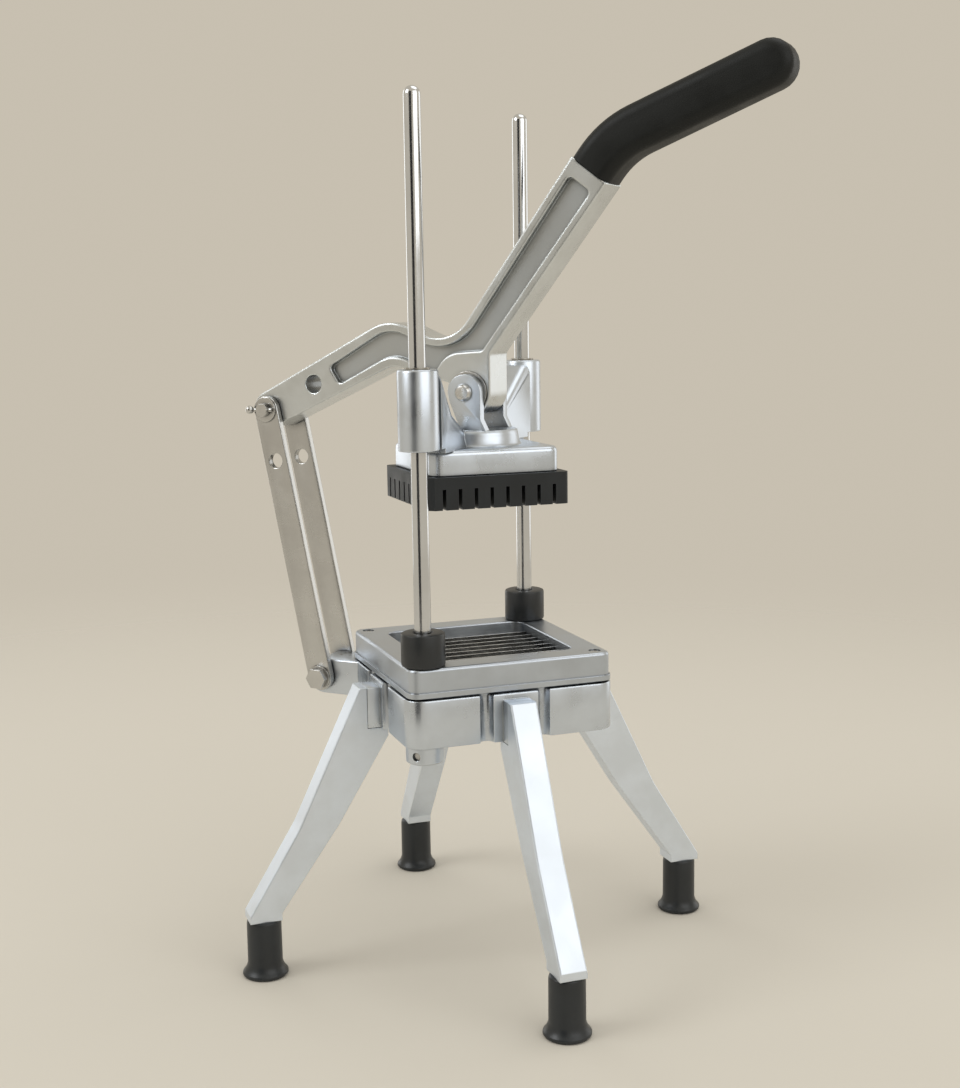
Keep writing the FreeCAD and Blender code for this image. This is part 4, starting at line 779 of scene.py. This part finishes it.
class FRY_OT_rods(bpy.types.Operator):
    """Turn the two guide rods with their domed ends"""

    bl_idname = "fry.rods"
    bl_label = "Guide rods"

    chamfer = 0.0004

    def execute(self, context):
        for side in SIDES:
            node_name = f"guide_rod_{side}"
            centre, size = middle(node_name), span(node_name)
            radius, length = size.x / 2, size.z
            dome = [(radius * math.cos(turn), length - radius + radius * math.sin(turn))
                    for turn in (step * math.pi / 16 for step in range(8))]
            profile = [(radius - self.chamfer, 0), (radius, self.chamfer), *dome]
            piece = turned(f"polished_rod_{side}", profile, (centre.x, centre.y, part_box(node_name)[0][2]), 48)
            polish(piece, angle=40)
            dress(piece, finish("rod"), "polished_steel", "stand", node_name)
        return {"FINISHED"}


class FRY_OT_steel(bpy.types.Operator):
    """Finish the blades, bushes and fasteners"""

    bl_idname = "fry.steel"
    bl_label = "Steel parts"

    def execute(self, context):
        for side in SIDES:
            finish_node(f"sleeve_bush_{side}", finish("bush"))
        for name in ("blades_upper", "blades_lower"):
            finish_node(name, finish("blade"))
        for name in ("leg_screws", "frame_screws", "rod_set_screws", "block_screws", "link_bolt", "link_nut",
                     "link_washers", "rear_pin", "rear_pin_washer", "rear_pin_clip", "pivot_nut", "thrust_washers"):
            finish_node(name, finish("fastener"))
        return {"FINISHED"}


class FRY_OT_feet(bpy.types.Operator):
    """Turn the four rubber feet with their flared soles"""

    bl_idname = "fry.feet"
    bl_label = "Feet"

    barrel_share, neck_share = 0.752, 0.478  # radii of the barrel and of its hole against the sole's

    def execute(self, context):
        rubber = context.scene.cutter_rubber
        for leg in LEGS:
            node_name = f"foot_{leg}"
            centre, size = middle(node_name), span(node_name)
            flare, height = size.x / 2, size.z
            barrel, neck = flare * self.barrel_share, flare * self.neck_share
            profile = [(flare - 0.0018, 0), (flare - 0.0006, 0.0004), (flare, 0.0014),
                       (flare - 0.0002, 0.0026), (flare - 0.0012, 0.0036), (barrel + 0.0010, 0.0055),
                       (barrel + 0.0001, 0.0082), (barrel, height - 0.0024), (barrel - 0.0003, height - 0.0008),
                       (barrel - 0.0012, height), (neck, height), (neck, height * 0.5)]
            piece = turned(f"rubber_foot_{leg}", profile, (centre.x, centre.y, 0), rubber.steps)
            polish(piece, width=rubber.foot_bead, angle=35)
            dress(piece, finish("rubber"), "foot_rubber", "stand", node_name)
        return {"FINISHED"}


class FRY_OT_bumpers(bpy.types.Operator):
    """Turn the two rubber bumpers on the rods"""

    bl_idname = "fry.bumpers"
    bl_label = "Bumpers"

    bead, rod_gap = 0.0012, 0.0001

    def execute(self, context):
        bead, inset = self.bead, self.bead * 0.3
        for side in SIDES:
            node_name = f"rod_bumper_{side}"
            centre, size = middle(node_name), span(node_name)
            outer, height = size.x / 2, size.z
            inner = span(f"guide_rod_{side}").x / 2 + self.rod_gap
            profile = [(inner, 0), (outer - bead, 0), (outer - inset, inset), (outer, bead), (outer, height - bead),
                       (outer - inset, height - inset), (outer - bead, height), (inner + bead, height),
                       (inner, height - bead)]
            piece = turned(f"rubber_bumper_{side}", profile, (centre.x, centre.y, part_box(node_name)[0][2]),
                           context.scene.cutter_rubber.steps, bored=True)
            polish(piece, angle=35)
            dress(piece, finish("bumper"), "bumper_rubber", "stand", node_name)
        return {"FINISHED"}


class FRY_OT_grip(bpy.types.Operator):
    """Model the dipped grip, bent once, round at its end and narrower than it is at its mouth"""

    bl_idname = "fry.grip"
    bl_label = "Grip"

    mouth, bend, end = (0.0776, 0.4623), (0.0894, 0.4780), (0.1760, 0.5116)
    half_depth, half_width, edge = 0.0131, 0.0136, 0.0072
    bend_radius, bend_steps, end_steps = 0.0529, 8, 12
    taper, taper_start = 0.84, 0.12  # the grip narrows to this share beyond this place

    def execute(self, context):
        start, bend, end = (Vector(point) for point in (self.mouth, self.bend, self.end))
        half, width = self.half_depth, self.half_width
        first, second = (bend - start).normalized(), (end - bend).normalized()
        turn = math.acos(first.dot(second))
        reach = self.bend_radius * math.tan(turn / 2)
        up, rise = Vector((-first.y, first.x)), Vector((-second.y, second.x))
        hub = bend - first * reach - up * self.bend_radius
        top, low = [start + up * half], [start - up * half]
        for step in range(self.bend_steps + 1):
            angle = turn * step / self.bend_steps
            out = up * math.cos(angle) + first * math.sin(angle)
            top.append(hub + out * (self.bend_radius + half))
            low.append(hub + out * (self.bend_radius - half))
        for step in range(self.end_steps + 1):
            angle = math.pi * step / self.end_steps
            top.append(end + rise * half * math.cos(angle) + second * half * math.sin(angle))
        piece = sawn("dipped_grip", top + low[::-1], "XZ", -width, 2 * width)
        round_edges(piece, lambda spot, way: abs(abs(spot.y) - width) < FLUSH
                    and (spot.xz - start).dot(first) > RIM, self.edge, 6)
        pick(piece, "verts", lambda spot, way: spot.x > self.taper_start)
        bpy.ops.transform.resize(value=(1, self.taper, 1), center_override=(0, 0, 0))
        polish(piece, angle=40)
        dress(piece, finish("grip"), "grip_vinyl", "lever", "handle_grip")
        return {"FINISHED"}


class FRY_OT_links(bpy.types.Operator):
    """Model the flat steel links with their round ends, bolt holes and spare hole"""

    bl_idname = "fry.links"
    bl_label = "Links"

    half_width, end_steps, edge = 0.00825, 12, 0.0006
    hole_radius, hole_depth = 0.0041, 0.02
    spare_radius, spare_drop = 0.0046, 0.032

    def execute(self, context):
        foot, head = (Vector((middle(name).x, middle(name).z)) for name in ("link_bolt", "rear_pin"))
        along = (head - foot).normalized()
        out = Vector((along.y, -along.x))
        spare = head - along * self.spare_drop
        outline = []
        for centre, first in ((head, 0), (foot, math.pi)):
            for step in range(self.end_steps + 1):
                angle = first + math.pi * step / self.end_steps
                outline.append(centre + (out * math.cos(angle) + along * math.sin(angle)) * self.half_width)
        for side in SIDES:
            name = f"link_{side}"
            low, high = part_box(name)
            piece = polish(sawn(f"{name}_bar", outline, "XZ", low[1], high[1] - low[1]))
            for centre, radius in ((foot, self.hole_radius), (head, self.hole_radius), (spare, self.spare_radius)):
                drill(piece, (centre.x, (low[1] + high[1]) / 2, centre.y), radius, self.hole_depth, 32)
            polish(piece, width=self.edge, segments=3, angle=35)
            dress(piece, finish("link"), "polished_steel", "links", name)
        return {"FINISHED"}


class FRY_OT_block(bpy.types.Operator):
    """Finish the pusher block"""

    bl_idname = "fry.block"
    bl_label = "Pusher block"

    def execute(self, context):
        finish_node("pusher_block", finish("block"))
        return {"FINISHED"}


LAMP_COLOR = (0.93, 0.965, 1.0)
CARD_COLOR = (0.02, 0.02, 0.02)
FLOOR_FADE = (0.5, 1.5)  # the floor fades into the backdrop between these distances


def floor_material(color):
    """Floor that takes the shadow and fades into the backdrop far from the cutter."""
    material, tree, shader = new_material("studio_floor")
    shader.inputs["Base Color"].default_value = opaque(color)
    shader.inputs["Roughness"].default_value = 0.9
    shader.inputs["Specular IOR Level"].default_value = 0.1
    place = node(tree, "ShaderNodeTexCoord")
    distance = node(tree, "ShaderNodeVectorMath", operation="LENGTH")
    link(tree, place.outputs["Object"], distance.inputs[0])
    clear = node(tree, "ShaderNodeBsdfTransparent")
    mix = node(tree, "ShaderNodeMixShader")
    link(tree, ramp(tree, distance.outputs["Value"], *FLOOR_FADE), mix.inputs[0])
    link(tree, shader.outputs[0], mix.inputs[1])
    link(tree, clear.outputs[0], mix.inputs[2])
    link(tree, mix.outputs[0], tree.nodes["Material Output"].inputs["Surface"])
    return material


def soft_box(name, place, aim, size, power):
    """An area lamp that faces a point."""
    deselect()
    bpy.ops.object.light_add(type="AREA", location=place)
    lamp = bpy.context.object
    lamp.name = name
    lamp.data.shape = "RECTANGLE"
    lamp.data.size, lamp.data.size_y = size
    lamp.data.energy = power
    lamp.data.color = LAMP_COLOR
    lamp.visible_camera = False
    lamp.rotation_euler = (Vector(aim) - Vector(place)).to_track_quat("-Z", "Y").to_euler()


def dark_card(name, place, aim, size):
    """A dark card outside the picture that polished metal mirrors as a dark band."""
    deselect()
    bpy.ops.mesh.primitive_plane_add(size=1.0, location=place)
    card = bpy.context.object
    card.name = name
    card.rotation_euler = (Vector(aim) - Vector(place)).to_track_quat("Z", "Y").to_euler()
    card.scale = (size[0], size[1], 1)
    bpy.ops.object.transform_apply(location=True, rotation=True, scale=True)
    material, _, shader = new_material("dark_card")
    shader.inputs["Base Color"].default_value = opaque(CARD_COLOR)
    shader.inputs["Roughness"].default_value = 1.0
    card.data.materials.append(material)
    card.visible_camera = False
    card.visible_diffuse = False
    card.visible_shadow = False


class FRY_OT_stage(bpy.types.Operator):
    """Set the floor, the backdrop, the soft boxes and the camera"""

    bl_idname = "fry.stage"
    bl_label = "Studio"

    floor_radius = 3.0
    aim = (0, 0, 0.28)
    ambient, ambient_color = 0.78, (1.0, 0.98, 0.95)
    lamps = (  # name, place, size, power
        ("key_soft_box", (-1.4, -1.4, 1.7), (1.1, 1.1), 17),
        ("side_soft_box", (1.65, -0.65, 1.15), (1.8, 1.1), 8),
        ("top_soft_box", (0.4, 0.3, 1.9), (1.2, 1.2), 5),
        ("rear_soft_box", (-1.7, 0.9, 0.6), (0.8, 1.4), 4),
        ("far_soft_box", (1.1, 1.6, 0.6), (1.1, 1.3), 3.5),
    )

    def execute(self, context):
        stage = context.scene.cutter_stage
        deselect()
        bpy.ops.mesh.primitive_circle_add(vertices=96, radius=self.floor_radius, fill_type="NGON",
                                          location=(0, 0, 0))
        floor = context.object
        floor.name = "studio_floor"
        floor.data.materials.append(floor_material(stage.floor_color))
        self.light(context, stage)
        self.aim_camera(context, stage)
        context.scene.view_settings.view_transform = "Standard"
        return {"FINISHED"}

    def light(self, context, stage):
        """World and soft boxes."""
        world = bpy.data.worlds.new("studio")
        context.scene.world = world
        world.use_nodes = True
        tree = world.node_tree
        tree.nodes.clear()
        ray = node(tree, "ShaderNodeLightPath")
        seen = math_node(tree, "MAXIMUM", ray.outputs["Is Camera Ray"], ray.outputs["Is Glossy Ray"])
        seen = math_node(tree, "MAXIMUM", seen, ray.outputs["Is Transmission Ray"])
        backdrop = node(tree, "ShaderNodeBackground", Strength=1.0)
        backdrop.inputs["Color"].default_value = opaque(stage.backdrop_color)
        ambient = node(tree, "ShaderNodeBackground", Strength=self.ambient)
        ambient.inputs["Color"].default_value = opaque(self.ambient_color)
        mix = node(tree, "ShaderNodeMixShader")
        link(tree, seen, mix.inputs[0])
        link(tree, ambient.outputs[0], mix.inputs[1])
        link(tree, backdrop.outputs[0], mix.inputs[2])
        out = node(tree, "ShaderNodeOutputWorld")
        link(tree, mix.outputs[0], out.inputs["Surface"])
        for name, place, size, power in self.lamps:
            soft_box(name, place, self.aim, size, power)
        dark_card("front_dark_card", (0.12, -1.9, 0.5), self.aim, (1.1, 2.4))

    def aim_camera(self, context, stage):
        """Camera at the photographed viewpoint."""
        turn, pitch, roll = stage.camera_turn, stage.camera_pitch, stage.camera_roll
        ahead = Vector((-math.sin(turn) * math.cos(pitch), math.cos(turn) * math.cos(pitch), math.sin(pitch)))
        right = Vector((math.cos(turn), math.sin(turn), 0))
        up = right.cross(ahead)
        right, up = (right * math.cos(roll) + up * math.sin(roll), up * math.cos(roll) - right * math.sin(roll))
        deselect()
        bpy.ops.object.camera_add(location=stage.camera_place)
        camera = context.object
        camera.name = "studio_camera"
        camera.matrix_world = Matrix.Translation(stage.camera_place) @ Matrix((
            (right.x, up.x, -ahead.x, 0), (right.y, up.y, -ahead.y, 0), (right.z, up.z, -ahead.z, 0),
            (0, 0, 0, 1)))
        camera.data.sensor_fit = "VERTICAL"
        camera.data.sensor_height = 36.0
        camera.data.lens = stage.camera_lens
        context.scene.camera = camera


class FRY_PT_panel(bpy.types.Panel):
    """Steps and settings of the french fry cutter"""

    bl_idname = "FRY_PT_panel"
    bl_label = "French fry cutter"
    bl_space_type = "VIEW_3D"
    bl_region_type = "UI"
    bl_category = "Fry Cutter"

    def draw(self, context):
        layout = self.layout
        scene = context.scene
        for group in (scene.cutter_finish, scene.cutter_rubber, scene.cutter_stage):
            box = layout.box()
            for name in group.__annotations__:
                box.prop(group, name)
        for step in STEPS:
            layout.operator(step.bl_idname)


GROUPS = {"cutter_finish": CutterFinish, "cutter_stage": CutterStage, "cutter_rubber": CutterRubber}
STEPS = (FRY_OT_castings, FRY_OT_base, FRY_OT_head, FRY_OT_bolts, FRY_OT_rods, FRY_OT_steel, FRY_OT_links,
         FRY_OT_grip, FRY_OT_block, FRY_OT_feet, FRY_OT_bumpers, FRY_OT_stage)


def register():
    """Add the settings, the steps and the panel."""
    for name, group in GROUPS.items():
        bpy.utils.register_class(group)
        setattr(bpy.types.Scene, name, PointerProperty(type=group))
    for step in STEPS:
        bpy.utils.register_class(step)
    bpy.utils.register_class(FRY_PT_panel)


def unregister():
    """Take them away again."""
    bpy.utils.unregister_class(FRY_PT_panel)
    for step in reversed(STEPS):
        bpy.utils.unregister_class(step)
    for name, group in GROUPS.items():
        delattr(bpy.types.Scene, name)
        bpy.utils.unregister_class(group)


def main():
    """Make the cutter and its studio."""
    register()
    bpy.ops.fry.castings()
    bpy.ops.fry.base()
    bpy.ops.fry.head()
    bpy.ops.fry.bolts()
    bpy.ops.fry.rods()
    bpy.ops.fry.steel()
    bpy.ops.fry.links()
    bpy.ops.fry.grip()
    bpy.ops.fry.block()
    bpy.ops.fry.feet()
    bpy.ops.fry.bumpers()
    bpy.ops.fry.stage()
    deselect()


if __name__ == "__main__":
    main()
